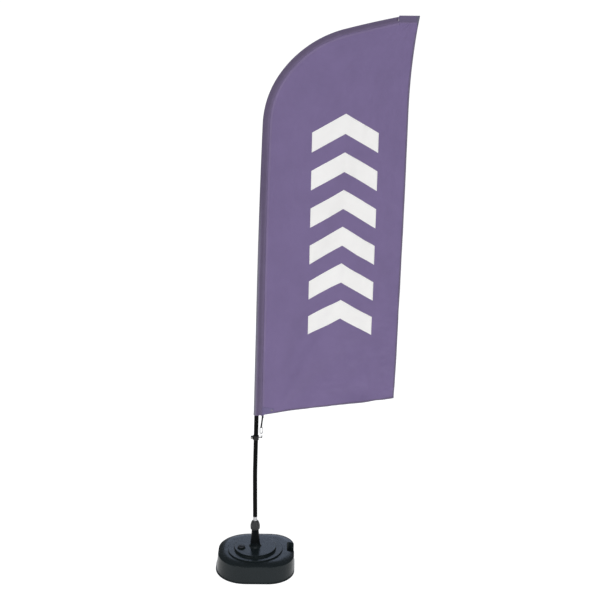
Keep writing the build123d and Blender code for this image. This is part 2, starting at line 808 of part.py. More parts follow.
def make_gate_pin():
    pin = Rot(90, 0, 0) * Cylinder(GATE_PIN_RADIUS - 0.01, 5.4)
    return Pos(LINK_X + HOOK_HALF_WIDTH, 0, GATE_FOOT) * pin


def make_clamp_collar():
    """A split ring on the pole, with two ears for the screw and a horn for the link."""
    height = 2 * CLAMP_HALF_HEIGHT
    body = Cylinder(CLAMP_RADIUS, height)
    body = chamfer(body.edges().group_by(Axis.Z)[0] + body.edges().group_by(Axis.Z)[-1], 1.2)
    ears = Pos(-EAR_REACH / 2, 0, 0) * Box(
        EAR_REACH, CLAMP_SLOT + 2 * EAR_THICKNESS, 2 * EAR_HALF_HEIGHT
    )
    body += fillet(ears.edges().filter_by(Axis.Y).group_by(Axis.X)[0], 5.0)
    reach = HORN_REACH - HORN_RADIUS
    arm_height = 2.0
    arm = Pos(CLAMP_RADIUS - 2.5, 0, arm_height) * Rot(0, 90, 0) * extrude(
        Circle(HORN_RADIUS), reach - CLAMP_RADIUS + 2.5
    )
    knuckle = Pos(reach, 0, arm_height) * Sphere(HORN_RADIUS)
    rise = Pos(reach, 0, arm_height) * extrude(Circle(HORN_RADIUS), HORN_RISE)
    cap = Pos(reach, 0, arm_height + HORN_RISE) * Sphere(HORN_RADIUS)
    body += arm + knuckle + rise + cap
    body -= Cylinder(CLAMP_BORE, height + 2)
    body -= Pos(-EAR_REACH / 2 - 5, 0, 0) * Box(EAR_REACH + 10, CLAMP_SLOT, height + 2)
    body -= Pos(-EAR_SCREW_REACH, 0, 0) * Rot(90, 0, 0) * Cylinder(SCREW_RADIUS + 0.1, 40)
    return station(CLAMP_STATION) * body


def make_clamp_screw():
    """Steel screw through both ears, with a socket head at the front."""
    length = 2 * EAR_FACE + 5.5
    shank = Pos(0, length / 2 - EAR_FACE - 0.3, 0) * Rot(90, 0, 0) * Cylinder(SCREW_RADIUS, length)
    head = Pos(0, -EAR_FACE - 2.8, 0) * Rot(90, 0, 0) * Cylinder(SCREW_HEAD_RADIUS, 5.0)
    head = chamfer(head.edges().group_by(Axis.Y)[0], 0.5)
    socket = Plane.XZ * RegularPolygon(2.3, 6)
    head -= Pos(0, -EAR_FACE - 2.5, 0) * extrude(socket, 4.0)
    return station(CLAMP_STATION) * Pos(-EAR_SCREW_REACH, 0, 0) * (shank + head)


def make_clamp_nut():
    hexagon = RegularPolygon(4.6, 6) - Circle(SCREW_RADIUS + 0.1)
    nut = Rot(-90, 0, 0) * extrude(hexagon, 4.0)
    return station(CLAMP_STATION) * Pos(-EAR_SCREW_REACH, EAR_FACE, 0) * nut


save(make_water_tank(), "water_tank")
save(make_water_ballast(), "water_ballast")
save(make_filler_cap(), "filler_cap")
save(make_cap_gasket(), "cap_gasket")
save(tube(HOUSING_RADIUS, HOUSING_BORE, HOUSING_BOTTOM + 6, HOUSING_TOP), "spigot_housing")
save(rod(HOUSING_RADIUS, HOUSING_BOTTOM, HOUSING_BOTTOM + 6), "housing_plug")
for name, low in (("lower", LOWER_BEARING), ("upper", UPPER_BEARING)):
    save(make_race(BALL_PITCH_RADIUS + RACE_LAND, HOUSING_BORE - 0.01, low), f"{name}_outer_race")
    save(make_race(SHAFT_RADIUS + 0.01, BALL_PITCH_RADIUS - RACE_LAND, low), f"{name}_inner_race")
    save(make_balls(low), f"{name}_bearing_balls")
    save(make_cage(low), f"{name}_ball_cage")
save(
    tube(HOUSING_BORE - 0.02, 9.2, LOWER_BEARING + BEARING_WIDTH, UPPER_BEARING),
    "outer_race_spacer",
)
save(
    tube(7.2, SHAFT_RADIUS + 0.02, LOWER_BEARING + BEARING_WIDTH, UPPER_BEARING),
    "inner_race_spacer",
)
save(make_spigot_shaft(), "spigot_shaft")
save(make_o_rings(), "spigot_o_rings")
save(make_circlip(), "shaft_circlip")
save(make_neck_collet(), "neck_collet")
save(make_locking_nut(), "locking_nut")
save(make_pole_lower(), "pole_lower")
save(make_stop_rivet(), "middle_stop_rivet")
save(make_pole_middle(), "pole_middle")
save(make_tip_ferrule(), "tip_ferrule")
save(make_tip_rod(), "pole_tip_rod")
save(make_tip_cap(), "tip_cap")
save(make_pole_sleeve(), "pole_sleeve")
save(make_flag_panel(), "flag_panel")
save(make_top_patches(), "top_corner_patches")
save(make_tack_patches(), "tack_corner_patches")
save(make_eyelet(), "tack_eyelet")
save(make_strap_tab(), "strap_tab")
save(make_elastic_strap(), "elastic_strap")
save(make_strap_loop(), "strap_loop")
save(make_link(), "link_ring")
save(make_snap_hook_body(), "snap_hook_body")
save(make_gate(), "snap_hook_gate")
save(make_gate_pin(), "gate_pin")
save(make_clamp_collar(), "clamp_collar")
save(make_clamp_screw(), "clamp_screw")
save(make_clamp_nut(), "clamp_nut")
print(f"pole length {POLE_LENGTH:.1f} mm")
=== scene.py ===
import json
import math

import bmesh
import bpy
import numpy as np
from mathutils import Matrix, Vector
from mathutils.bvhtree import BVHTree


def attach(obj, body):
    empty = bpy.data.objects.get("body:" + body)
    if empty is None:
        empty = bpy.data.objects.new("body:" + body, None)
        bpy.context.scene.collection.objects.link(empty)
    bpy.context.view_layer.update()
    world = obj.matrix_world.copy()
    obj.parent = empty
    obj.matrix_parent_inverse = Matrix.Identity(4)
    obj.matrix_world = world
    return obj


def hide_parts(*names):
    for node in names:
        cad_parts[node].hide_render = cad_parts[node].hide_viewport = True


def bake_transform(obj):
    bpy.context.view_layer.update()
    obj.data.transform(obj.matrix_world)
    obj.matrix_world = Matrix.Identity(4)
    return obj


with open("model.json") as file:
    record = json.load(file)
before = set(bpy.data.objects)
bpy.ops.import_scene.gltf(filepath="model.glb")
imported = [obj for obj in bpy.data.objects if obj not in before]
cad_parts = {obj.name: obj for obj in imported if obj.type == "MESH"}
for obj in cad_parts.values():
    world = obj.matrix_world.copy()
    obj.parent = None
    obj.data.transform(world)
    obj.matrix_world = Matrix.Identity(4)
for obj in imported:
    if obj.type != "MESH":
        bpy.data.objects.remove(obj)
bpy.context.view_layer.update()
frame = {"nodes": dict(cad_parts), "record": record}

# ---------------- camera and studio ----------------

CAMERA_PLACE = (0.2486, -6.0, 3.395)
CAMERA_PITCH = math.radians(16.42)
CAMERA_ROLL = math.radians(0.5)
CAMERA_LENS = 68.7
CAMERA_SENSOR = 36.0
FAR_CLIP = 300.0

FLOOR_DROP = 0.0006
FLOOR_RADIUS = 5.0
FLOOR_GLOW = 0.95
FLOOR_ALBEDO = 0.35
DOME_RADIUS = 60.0
DOME_GLOW = 1.05
WORLD_STRENGTH = 0.16

# name, place, aim, size, power, colour
LIGHTS = (
    ("key_light", (-3.4, -4.8, 5.0), (0.3, 0.0, 1.7), 3.5, 175.0, (1.0, 1.0, 1.0)),
    ("fill_light", (4.2, -4.6, 2.6), (0.3, 0.0, 1.6), 3.5, 100.0, (1.0, 1.0, 1.0)),
    ("top_light", (0.2, -0.8, 6.6), (0.2, 0.0, 0.0), 3.0, 70.0, (0.92, 0.96, 1.0)),
    ("back_light", (0.1, 5.4, 2.2), (0.0, 0.0, 0.1), 2.6, 40.0, (0.62, 0.74, 1.0)),
)

# ---------------- dimensions of the cloth and pole, in metres ----------------

POLE_FOOT = 0.312
POLE_LENGTH = 3.2188
# straight runs as (None, length) and bends as (radius, heading reached in degrees from upright)
POLE_RUNS = (
    (None, 0.228),
    (4.0, 1.5),
    (None, 1.0),
    (49.0, 2.6),
    (0.467, 35.0),
    (0.572, 75.5),
    (4.83, 78.5),
    (None, 0.024),
)

SLEEVE_BOTTOM = 0.639
SLEEVE_LEFT = -0.016
SLEEVE_WALL = 0.0006
SEAM_STATIONS = (0.639, 2.25, 2.70, 3.219)
SEAM_OFFSETS = (0.028, 0.0185, 0.0135, 0.0095)
SEAM_AT_TIP = SEAM_OFFSETS[-1]
SEAM_ALLOWANCE = 0.0035
WELT_OFFSET = 0.0064
TUCK = 0.004
NOSE_STATIONS = (0.63, 1.09, 1.16, 2.085, 2.17, 3.219)
NOSE_RADII = (0.0142, 0.0142, 0.0131, 0.0131, 0.0094, 0.0094)
SLEEVE_HEM = 0.013
SLEEVE_FOLD = 0.0007

CLOTH = 0.0006
FLY_TOP = (0.846, 3.140)
FLY_UPPER_MIDDLE = (0.818, 2.925)
FLY_SHOULDER = (0.804, 2.653)
FLY_MIDDLE = (0.797, 2.023)
FLY_BOTTOM = (0.778, 1.055)
FOOT_BOW = 0.0064
FOOT_FADE = 8
TACK_CORNER = (0.046, 0.9455)
TACK_CHAMFER = (0.056, 0.953)
BAND_FOOT = 3.107
MAIN_TOP = 3.100
MAIN_SHARE = 0.975
TIP_CORNER_INSET = 0.006
TIP_TURN = 0.8
FLY_CORNER_FOOT = 3.084
FLY_CORNER_WIDTHS = (0.003, 0.0185)

# half thicknesses of what is sewn on both faces, and each hem's and welt's width with its own
BAND_HALF = 0.0009
FLY_CORNER_HALF = 0.0014
PATCH_HALF = 0.0012
FLY_HEM = (0.0075, 0.00085)
FOOT_HEM = (0.008, 0.0008)
SEAM_WELT = (0.0056, 0.0010)
BAND_WELT = (0.0028, 0.0011)
BAND_WELT_DROP = 0.003

EYELET = (0.095, 0.978)
EYELET_HOLE = 0.0033
PATCH_OUTLINE = (
    (0.036, 0.948),
    (0.046, 0.948),
    (0.060, 0.9545),
    (0.108, 0.9665),
    (0.108, 0.990),
    (0.037, 1.000),
)
PATCH_SEAM = ((0.0385, 0.9965), (0.1055, 0.9875), (0.1055, 0.969), (0.061, 0.9570))
PATCH_FOLD = ((0.042, 0.9915), (0.079, 0.9865))

CHEVRONS = 6
CHEVRON_FOOT = 1.426
CHEVRON_PITCH = 0.202
CHEVRON_HALF_WIDTH = 0.175
CHEVRON_THICKNESS = 0.105
CHEVRON_RISE = 0.101
PRINT_CENTRE_LOW = 0.468
PRINT_CENTRE_HIGH = 0.4805
PRINT_TOP = 2.64
PRINT_FILM = 0.00025

STRAP_X = 0.044
STRAP_Y = 0.0022
STRAP_TOP = 0.936
STRAP_FOOT = 0.884
LINK_X = 0.036
STRAP_WIDTH = 0.010
STRAP_THICKNESS = 0.0012
STRAP_WAIST = 0.10
TAB_THICKNESS = 0.0019
LOOP_THICKNESS = 0.0009
HOOK_BOW = 0.8745
BOW_RADIUS = 0.00235
LOOP_GAP = 0.0012
LOOP_LEGS = (0.8788, 0.8858)
TAB_TOP = 0.968

STITCH_PITCH = 0.0044
STITCH_LENGTH = 0.0030
STITCH_WIDTH = 0.0006
STITCH_PROUD = 0.0001
SEAM_STITCH_LIFT = 0.00112
BARTACK_START = (0.7335, 3.113)
BARTACK_HEIGHT = 0.0105
BARTACK_ROWS = 9
BARTACK_PITCH = 0.0008
BARTACK_STITCH = 0.0031
BARTACK_LIFT = 0.0033


# ---------------- camera, lights and stage ----------------


def make_camera():
    data = bpy.data.cameras.new("camera")
    data.lens = CAMERA_LENS
    data.sensor_width = CAMERA_SENSOR
    data.clip_end = FAR_CLIP
    camera = bpy.data.objects.new("camera", data)
    bpy.context.scene.collection.objects.link(camera)
    ahead = Vector((0, math.cos(CAMERA_PITCH), -math.sin(CAMERA_PITCH)))
    up = Vector((0, math.sin(CAMERA_PITCH), math.cos(CAMERA_PITCH)))
    right = Vector((1, 0, 0))
    rolled_right = math.cos(CAMERA_ROLL) * right + math.sin(CAMERA_ROLL) * up
    rolled_up = math.cos(CAMERA_ROLL) * up - math.sin(CAMERA_ROLL) * right
    turn = Matrix((rolled_right, rolled_up, -ahead)).transposed()
    camera.matrix_world = Matrix.Translation(CAMERA_PLACE) @ turn.to_4x4()
    bpy.context.scene.camera = camera


def make_light(name, place, aim, size, power, colour):
    data = bpy.data.lights.new(name, "AREA")
    data.size = size
    data.energy = power
    data.color = colour
    light = bpy.data.objects.new(name, data)
    light.location = place
    light.rotation_mode = "QUATERNION"
    light.rotation_quaternion = (Vector(aim) - Vector(place)).to_track_quat("-Z", "Y")
    bpy.context.scene.collection.objects.link(light)


def stage_material(name, glow, albedo):
    material = bpy.data.materials.new(name)
    material.use_nodes = True
    shader = material.node_tree.nodes["Principled BSDF"]
    shader.inputs["Base Color"].default_value = (albedo, albedo, albedo, 1)
    shader.inputs["Roughness"].default_value = 1.0
    shader.inputs["Specular IOR Level"].default_value = 0.0
    shader.inputs["Emission Color"].default_value = (1, 1, 1, 1)
    shader.inputs["Emission Strength"].default_value = glow
    material.cycles.emission_sampling = "NONE"
    return material


def stage_mesh(name, build, material):
    mesh = bpy.data.meshes.new(name)
    work = bmesh.new()
    build(work)
    work.to_mesh(mesh)
    work.free()
    mesh.materials.append(material)
    stage = bpy.data.objects.new(name, mesh)
    bpy.context.scene.collection.objects.link(stage)
    return stage


def make_stage():
    floor = stage_mesh(
        "stage_floor",
        lambda work: bmesh.ops.create_circle(work, cap_ends=True, segments=128, radius=FLOOR_RADIUS),
        stage_material("stage_floor_white", FLOOR_GLOW, FLOOR_ALBEDO),
    )
    floor.location.z = -FLOOR_DROP
    dome = stage_mesh(
        "stage_dome",
        lambda work: bmesh.ops.create_uvsphere(work, u_segments=48, v_segments=24, radius=DOME_RADIUS),
        stage_material("stage_dome_white", DOME_GLOW, 0.0),
    )
    dome.visible_diffuse = False
    dome.visible_glossy = False
    dome.visible_shadow = False
    world = bpy.data.worlds.new("studio")
    world.use_nodes = True
    world.node_tree.nodes["Background"].inputs["Color"].default_value = (1, 1, 1, 1)
    world.node_tree.nodes["Background"].inputs["Strength"].default_value = WORLD_STRENGTH
    bpy.context.scene.world = world
    bpy.context.scene.view_settings.view_transform = "Standard"


make_camera()
for light in LIGHTS:
    make_light(*light)
make_stage()


# ---------------- materials ----------------


def node(tree, kind, **values):
    """A shader node with plain values set on its named inputs."""
    made = tree.nodes.new(kind)
    for name, value in values.items():
        made.inputs[name.replace("_", " ")].default_value = value
    return made


def shade(colour, factor):
    return tuple(min(1.0, channel * factor) for channel in colour) + (1.0,)


def start_material(name, roughness, metallic=0.0, specular=0.5, sheen=0.0):
    material = bpy.data.materials.new(name)
    material.use_nodes = True
    tree = material.node_tree
    shader = tree.nodes["Principled BSDF"]
    shader.inputs["Roughness"].default_value = roughness
    shader.inputs["Metallic"].default_value = metallic
    shader.inputs["Specular IOR Level"].default_value = specular
    shader.inputs["Sheen Weight"].default_value = sheen
    shader.inputs["Sheen Roughness"].default_value = 0.6
    return material, tree, shader


def clouds(tree, place, size, detail=4.0):
    noise = node(tree, "ShaderNodeTexNoise", Scale=1.0 / size, Detail=detail, Roughness=0.6)
    tree.links.new(place, noise.inputs["Vector"])
    return noise.outputs["Fac"]


def two_tone(tree, amount, dark, light, low=0.35, high=0.65):
    ramp = tree.nodes.new("ShaderNodeValToRGB")
    ramp.color_ramp.elements[0].position = low
    ramp.color_ramp.elements[0].color = dark
    ramp.color_ramp.elements[1].position = high
    ramp.color_ramp.elements[1].color = light
    tree.links.new(amount, ramp.inputs["Fac"])
    return ramp.outputs["Color"]


def spread(tree, amount, low, high):
    ranged = node(tree, "ShaderNodeMapRange", From_Min=0.3, From_Max=0.7, To_Min=low, To_Max=high)
    tree.links.new(amount, ranged.inputs["Value"])
    return ranged.outputs["Result"]


def bump(tree, height, depth, under=None):
    made = node(tree, "ShaderNodeBump", Strength=1.0, Distance=depth)
    tree.links.new(height, made.inputs["Height"])
    if under is not None:
        tree.links.new(under, made.inputs["Normal"])
    return made.outputs["Normal"]


def multiply(tree, first, second):
    mix = tree.nodes.new("ShaderNodeMix")
    mix.data_type = "RGBA"
    mix.blend_type = "MULTIPLY"
    mix.inputs[0].default_value = 1.0
    tree.links.new(first, mix.inputs[6])
    tree.links.new(second, mix.inputs[7])
    return mix.outputs[2]


def bands(tree, place, direction, period, distortion=0.4):
    """Wave bands a given distance apart. The texture's own period is a twentieth of a turn."""
    wave = node(
        tree,
        "ShaderNodeTexWave",
        Scale=math.tau / 20.0 / period,
        Distortion=distortion,
        Detail=1.0,
        Detail_Scale=1.5,
    )
    wave.wave_type = "BANDS"
    wave.bands_direction = direction
    tree.links.new(place, wave.inputs["Vector"])
    return wave.outputs["Fac"]


def hard_look(
    name,
    colour,
    roughness,
    metallic=0.0,
    specular=0.5,
    contrast=0.12,
    cloud=0.04,
    grain=0.0009,
    grain_depth=0.00002,
    wave=0.0,
    wave_depth=0.0,
    scuff=0.0,
):
    """Plastic or metal: mottled, unevenly rough, finely grained and, where asked, wavy and scuffed."""
    material, tree, shader = start_material(name, roughness, metallic, specular)
    place = tree.nodes.new("ShaderNodeTexCoord").outputs["Object"]
    amount = clouds(tree, place, cloud)
    tone = two_tone(tree, amount, shade(colour, 1 - contrast), shade(colour, 1 + contrast))
    if scuff:
        streaks = clouds(tree, place, 0.011, detail=8.0)
        worn = two_tone(tree, streaks, (1, 1, 1, 1), (scuff, scuff, scuff, 1), 0.62, 0.74)
        tone = multiply(tree, tone, worn)
    tree.links.new(tone, shader.inputs["Base Color"])
    uneven = spread(tree, clouds(tree, place, cloud * 0.4), roughness * 0.85, min(1.0, roughness * 1.15))
    tree.links.new(uneven, shader.inputs["Roughness"])
    normal = bump(tree, clouds(tree, place, grain, detail=2.0), grain_depth)
    if wave:
        normal = bump(tree, clouds(tree, place, wave, detail=1.0), wave_depth, under=normal)
    tree.links.new(normal, shader.inputs["Normal"])
    return material


TANK_ROUGHNESS = 0.27
TANK_SPECULAR = 0.2
NECK_SPECULAR = 0.05
# colour factor and the heights between which painted shade blackens the neck
NECK_PAINTED_SHADE_COLOUR = (0.22, 0.22, 0.24, 1)
NECK_PAINTED_SHADE_FROM = 0.138
NECK_PAINTED_SHADE_TO = 0.165


def tank_look(name, colour):
    """The tank's moulded skin: slightly wavy and half glossy, but with painted shade blackening it and a
    lower specular level up the neck.
    """
    material = hard_look(
        name,
        colour,
        TANK_ROUGHNESS,
        specular=TANK_SPECULAR,
        contrast=0.10,
        cloud=0.09,
        grain=0.0012,
        grain_depth=0.00003,
        wave=0.07,
        wave_depth=0.0007,
        scuff=1.25,
    )
    tree = material.node_tree
    shader = tree.nodes["Principled BSDF"]
    height = tree.nodes.new("ShaderNodeSeparateXYZ")
    tree.links.new(tree.nodes.new("ShaderNodeTexCoord").outputs["Object"], height.inputs[0])
    up = node(tree, "ShaderNodeMapRange", From_Min=NECK_PAINTED_SHADE_FROM, From_Max=NECK_PAINTED_SHADE_TO)
    tree.links.new(height.outputs["Z"], up.inputs["Value"])
    # painted shade: the colour turns darker up the neck
    neck_painted_shade = two_tone(tree, up.outputs["Result"], (1, 1, 1, 1), NECK_PAINTED_SHADE_COLOUR, 0.0, 1.0)
    tone = shader.inputs["Base Color"].links[0].from_socket
    tree.links.new(multiply(tree, tone, neck_painted_shade), shader.inputs["Base Color"])
    duller = node(tree, "ShaderNodeMapRange", To_Min=TANK_SPECULAR, To_Max=NECK_SPECULAR)
    tree.links.new(up.outputs["Result"], duller.inputs["Value"])
    tree.links.new(duller.outputs["Result"], shader.inputs["Specular IOR Level"])
    return material


def brushed_look(name, colour, roughness, direction="Z", metallic=1.0):
    """Metal with fine turned or drawn lines."""
    material, tree, shader = start_material(name, roughness, metallic)
    place = tree.nodes.new("ShaderNodeTexCoord").outputs["Object"]
    lines = bands(tree, place, direction, 0.0004, distortion=1.5)
    tone = two_tone(tree, lines, shade(colour, 0.92), shade(colour, 1.08), 0.2, 0.8)
    smudge = two_tone(tree, clouds(tree, place, 0.02), (0.88, 0.88, 0.88, 1), (1, 1, 1, 1))
    tree.links.new(multiply(tree, tone, smudge), shader.inputs["Base Color"])
    uneven = spread(tree, clouds(tree, place, 0.006), roughness * 0.8, roughness * 1.25)
    tree.links.new(uneven, shader.inputs["Roughness"])
    tree.links.new(bump(tree, lines, 0.000004), shader.inputs["Normal"])
    return material


def cloth_look(name, colour, knit=0.0011, knit_depth=0.00006, contrast=0.035, ribs=0.06):
    """Knitted polyester: wales and courses, with slight long-range unevenness in colour."""
    material, tree, shader = start_material(name, 0.85, specular=0.25, sheen=0.12)
    place = tree.nodes.new("ShaderNodeTexCoord").outputs["Object"]
    wales = bands(tree, place, "X", knit)
    courses = bands(tree, place, "Z", knit * 0.8)
    amount = clouds(tree, place, 0.16, detail=3.0)
    tone = two_tone(tree, amount, shade(colour, 1 - contrast), shade(colour, 1 + contrast))
    dark = (1 - ribs, 1 - ribs, 1 - ribs, 1)
    tone = multiply(tree, tone, two_tone(tree, wales, dark, (1, 1, 1, 1), 0.0, 0.6))
    tone = multiply(tree, tone, two_tone(tree, courses, dark, (1, 1, 1, 1), 0.0, 0.6))
    tree.links.new(tone, shader.inputs["Base Color"])
    uneven = spread(tree, clouds(tree, place, 0.03), 0.8, 0.95)
    tree.links.new(uneven, shader.inputs["Roughness"])
    normal = bump(tree, wales, knit_depth)
    normal = bump(tree, courses, knit_depth, under=normal)
    normal = bump(tree, clouds(tree, place, 0.012, detail=2.0), 0.00012, under=normal)
    tree.links.new(normal, shader.inputs["Normal"])
    return material


def tones(tree, amount, stops):
    """Colours by place, from a list of places and colours."""
    made = tree.nodes.new("ShaderNodeValToRGB")
    elements = made.color_ramp.elements
    elements[0].position, elements[0].color = stops[0][0], shade(stops[0][1], 1.0)
    elements[1].position, elements[1].color = stops[-1][0], shade(stops[-1][1], 1.0)
    for place, colour in stops[1:-1]:
        elements.new(place).color = shade(colour, 1.0)
    tree.links.new(amount, made.inputs["Fac"])
    return made.outputs["Color"]


# places across the sleeve, from 0 at the seam to 1 at its outer edge, with a factor on the cloth's colour
# at each: partly the dark pole seen through the cloth, partly painted light and shade of the round
# sleeve. The outer edge gets a painted highlight, and higher up the crown has its own painted shade.
SLEEVE_LOW_PAINTED_SHADE = (
    (0.02, 0.88),
    (0.10, 1.0),
    (0.20, 0.97),
    (0.30, 0.86),
    (0.40, 0.79),
    (0.49, 0.79),
    (0.56, 0.93),
)
SLEEVE_HIGHLIGHT_FROM = 0.74
SLEEVE_CROWN_PAINTED_SHADE = ((0.02, 1.08), (0.14, 1.05), (0.28, 0.88), (0.45, 0.81), (0.62, 0.75), (0.97, 0.77))
CROWN_PAINTED_SHADE_FROM = 1.55
CROWN_PAINTED_SHADE_TO = 1.90


def scaled(colour, stops):
    return [(place, [channel * factor for channel in colour]) for place, factor in stops]


def sleeve_look(name, colour, highlight_colour):
    """The sleeve's cloth, with painted light and shade across its width: a low part with a painted
    highlight along its outer edge, and a crown with painted shade there.

    UV holds the place from the seam to the outer edge, and the distance along the pole in metres.
    """
    material, tree, shader = start_material(name, 0.85, specular=0.25, sheen=0.10)
    coordinates = tree.nodes.new("ShaderNodeTexCoord")
    place = coordinates.outputs["Object"]
    parts = tree.nodes.new("ShaderNodeSeparateXYZ")
    tree.links.new(coordinates.outputs["UV"], parts.inputs[0])
    # painted light and shade across the sleeve, with a painted highlight on the low part's outer edge;
    # the crown's own painted shade blends in with height
    low_stops = scaled(colour, SLEEVE_LOW_PAINTED_SHADE) + [(SLEEVE_HIGHLIGHT_FROM, highlight_colour)]
    low = tones(tree, parts.outputs["X"], low_stops)
    high = tones(tree, parts.outputs["X"], scaled(colour, SLEEVE_CROWN_PAINTED_SHADE))
    height = node(tree, "ShaderNodeMapRange", From_Min=CROWN_PAINTED_SHADE_FROM, From_Max=CROWN_PAINTED_SHADE_TO)
    tree.links.new(parts.outputs["Y"], height.inputs["Value"])
    mix = tree.nodes.new("ShaderNodeMix")
    mix.data_type = "RGBA"
    tree.links.new(height.outputs["Result"], mix.inputs[0])
    tree.links.new(low, mix.inputs[6])
    tree.links.new(high, mix.inputs[7])
    patchy = two_tone(tree, clouds(tree, place, 0.05), (0.93, 0.93, 0.93, 1), (1, 1, 1, 1))
    tone = multiply(tree, mix.outputs[2], patchy)
    wales = bands(tree, place, "Y", 0.0011)
    tree.links.new(tone, shader.inputs["Base Color"])
    uneven = spread(tree, clouds(tree, place, 0.02), 0.78, 0.94)
    tree.links.new(uneven, shader.inputs["Roughness"])
    normal = bump(tree, wales, 0.00005)
    normal = bump(tree, clouds(tree, place, 0.009, detail=3.0), 0.00025, under=normal)
    tree.links.new(normal, shader.inputs["Normal"])
    return material


def webbing_look(name, colour):
    """Woven tape. UV holds metres across and along it."""
    pitch = 0.0012
    material, tree, shader = start_material(name, 0.8, specular=0.3, sheen=0.2)
    coordinates = tree.nodes.new("ShaderNodeTexCoord")
    across = bands(tree, coordinates.outputs["UV"], "X", pitch, distortion=0.2)
    along = bands(tree, coordinates.outputs["UV"], "Y", pitch * 0.7, distortion=0.2)
    slant = bands(tree, coordinates.outputs["UV"], "DIAGONAL", pitch * 1.4, distortion=0.2)
    tone = two_tone(tree, slant, shade(colour, 0.7), shade(colour, 1.5), 0.1, 0.9)
    tree.links.new(tone, shader.inputs["Base Color"])
    uneven = spread(tree, clouds(tree, coordinates.outputs["Object"], 0.004), 0.7, 0.9)
    tree.links.new(uneven, shader.inputs["Roughness"])
    normal = bump(tree, across, 0.0001)
    normal = bump(tree, along, 0.00012, under=normal)
    tree.links.new(normal, shader.inputs["Normal"])
    return material


LOOKS = {
    "tank_plastic": tank_look("tank_plastic", (0.0112, 0.0166, 0.0192)),
    "water": hard_look("water", (0.30, 0.42, 0.48), 0.08, contrast=0.04, wave=0.05, wave_depth=0.0003),
    "cap_plastic": hard_look("cap_plastic", (0.012, 0.014, 0.017), 0.5, contrast=0.15, cloud=0.01),
    "nut_plastic": hard_look(
        "nut_plastic", (0.025, 0.025, 0.027), 0.5, contrast=0.25, cloud=0.008, scuff=1.5
    ),
    "clamp_plastic": hard_look(
        "clamp_plastic", (0.005, 0.005, 0.006), 0.42, specular=0.3, contrast=0.15, cloud=0.01
    ),
    "rubber": hard_look("rubber", (0.014, 0.014, 0.014), 0.75, contrast=0.2, cloud=0.006, specular=0.3),
    "chromed_steel": brushed_look("chromed_steel", (0.60, 0.60, 0.61), 0.42, metallic=0.7),
    "bearing_steel": brushed_look("bearing_steel", (0.60, 0.60, 0.62), 0.2),
    "spring_steel": brushed_look("spring_steel", (0.25, 0.25, 0.27), 0.35),
    "zinc_steel": brushed_look("zinc_steel", (0.62, 0.62, 0.60), 0.38, direction="Y"),
    "link_steel": brushed_look("link_steel", (0.75, 0.75, 0.76), 0.3),
    "hook_black": hard_look(
        "hook_black", (0.013, 0.013, 0.014), 0.38, contrast=0.3, cloud=0.004, scuff=2.2
    ),
    "brass": brushed_look("brass", (0.70, 0.52, 0.22), 0.32),
    "eyelet_brass": brushed_look("eyelet_brass", (0.30, 0.28, 0.25), 0.42, direction="Y"),
    "spacer_alloy": brushed_look("spacer_alloy", (0.70, 0.70, 0.70), 0.4),
    "black_tube": hard_look(
        "black_tube",
        (0.003, 0.003, 0.0033),
        0.42,
        specular=0.05,
        contrast=0.2,
        cloud=0.05,
        grain=0.0006,
        grain_depth=0.00001,
    ),
    "glass_fibre": hard_look("glass_fibre", (0.03, 0.03, 0.032), 0.4, contrast=0.3, cloud=0.002),
    "flag_cloth": cloth_look("flag_cloth", (0.197, 0.148, 0.304)),
    # sleeve cloth: darker than the panel, partly from its double layer and partly as painted shade; the
    # second colour is a painted highlight for its outer edge
    "sleeve_cloth": sleeve_look("sleeve_cloth", (0.158, 0.122, 0.222), (0.212, 0.200, 0.262)),
    "webbing": webbing_look("webbing", (0.011, 0.011, 0.012)),
}
BAND_CLOTH = cloth_look("band_cloth", (0.147, 0.117, 0.212), knit=0.0012, contrast=0.06)
# lighter than the panel's cloth: a painted highlight along the raised welts
WELT_HIGHLIGHT_CLOTH = cloth_look("welt_painted_highlight", (0.216, 0.166, 0.312), knit=0.0012, contrast=0.05)
HEM_CLOTH = cloth_look("hem_cloth", (0.165, 0.135, 0.220), knit=0.0012, contrast=0.06)
CORNER_CLOTH = cloth_look("corner_cloth", (0.138, 0.128, 0.190), knit=0.0012, contrast=0.08)
PATCH_CLOTH = cloth_look("patch_cloth", (0.176, 0.143, 0.286), knit=0.0011, contrast=0.05)
PRINT_WHITE = cloth_look("print_white", (0.95, 0.94, 0.93), knit_depth=0.00003, contrast=0.015, ribs=0.02)
THREAD = hard_look("sewing_thread", (0.20, 0.165, 0.29), 0.7, contrast=0.15, cloud=0.003, grain=0.0003)
PALE_THREAD = hard_look("pale_thread", (0.55, 0.52, 0.60), 0.7, contrast=0.15, cloud=0.003, grain=0.0003)

for part in frame["record"]["subparts"]:
    shown = frame["nodes"][part["node"]]
    look = LOOKS[part["material_slot"]]
    if not shown.material_slots:
        shown.data.materials.append(look)
    for material_slot in shown.material_slots:
        material_slot.material = look


# ---------------- mesh building ----------------


def add_piece(name, vertices, faces, material, body, uv=None):
    """A mesh piece that rides on a CAD body. UV is one pair of numbers for each vertex."""
    mesh = bpy.data.meshes.new(name)
    mesh.from_pydata(np.asarray(vertices).tolist(), [], [list(map(int, face)) for face in faces])
    work = bmesh.new()
    work.from_mesh(mesh)
    bmesh.ops.recalc_face_normals(work, faces=work.faces)
    work.to_mesh(mesh)
    work.free()
    mesh.polygons.foreach_set("use_smooth", [True] * len(mesh.polygons))
    if uv is not None:
        corners = np.zeros(len(mesh.loops), np.int32)
        mesh.loops.foreach_get("vertex_index", corners)
        layer = mesh.uv_layers.new(name="UVMap")
        layer.data.foreach_set("uv", np.asarray(uv, np.float32)[corners].ravel())
    mesh.materials.append(material)
    made = bpy.data.objects.new(name, mesh)
    bpy.context.scene.collection.objects.link(made)
    if body is not None:
        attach(made, body)
    return made


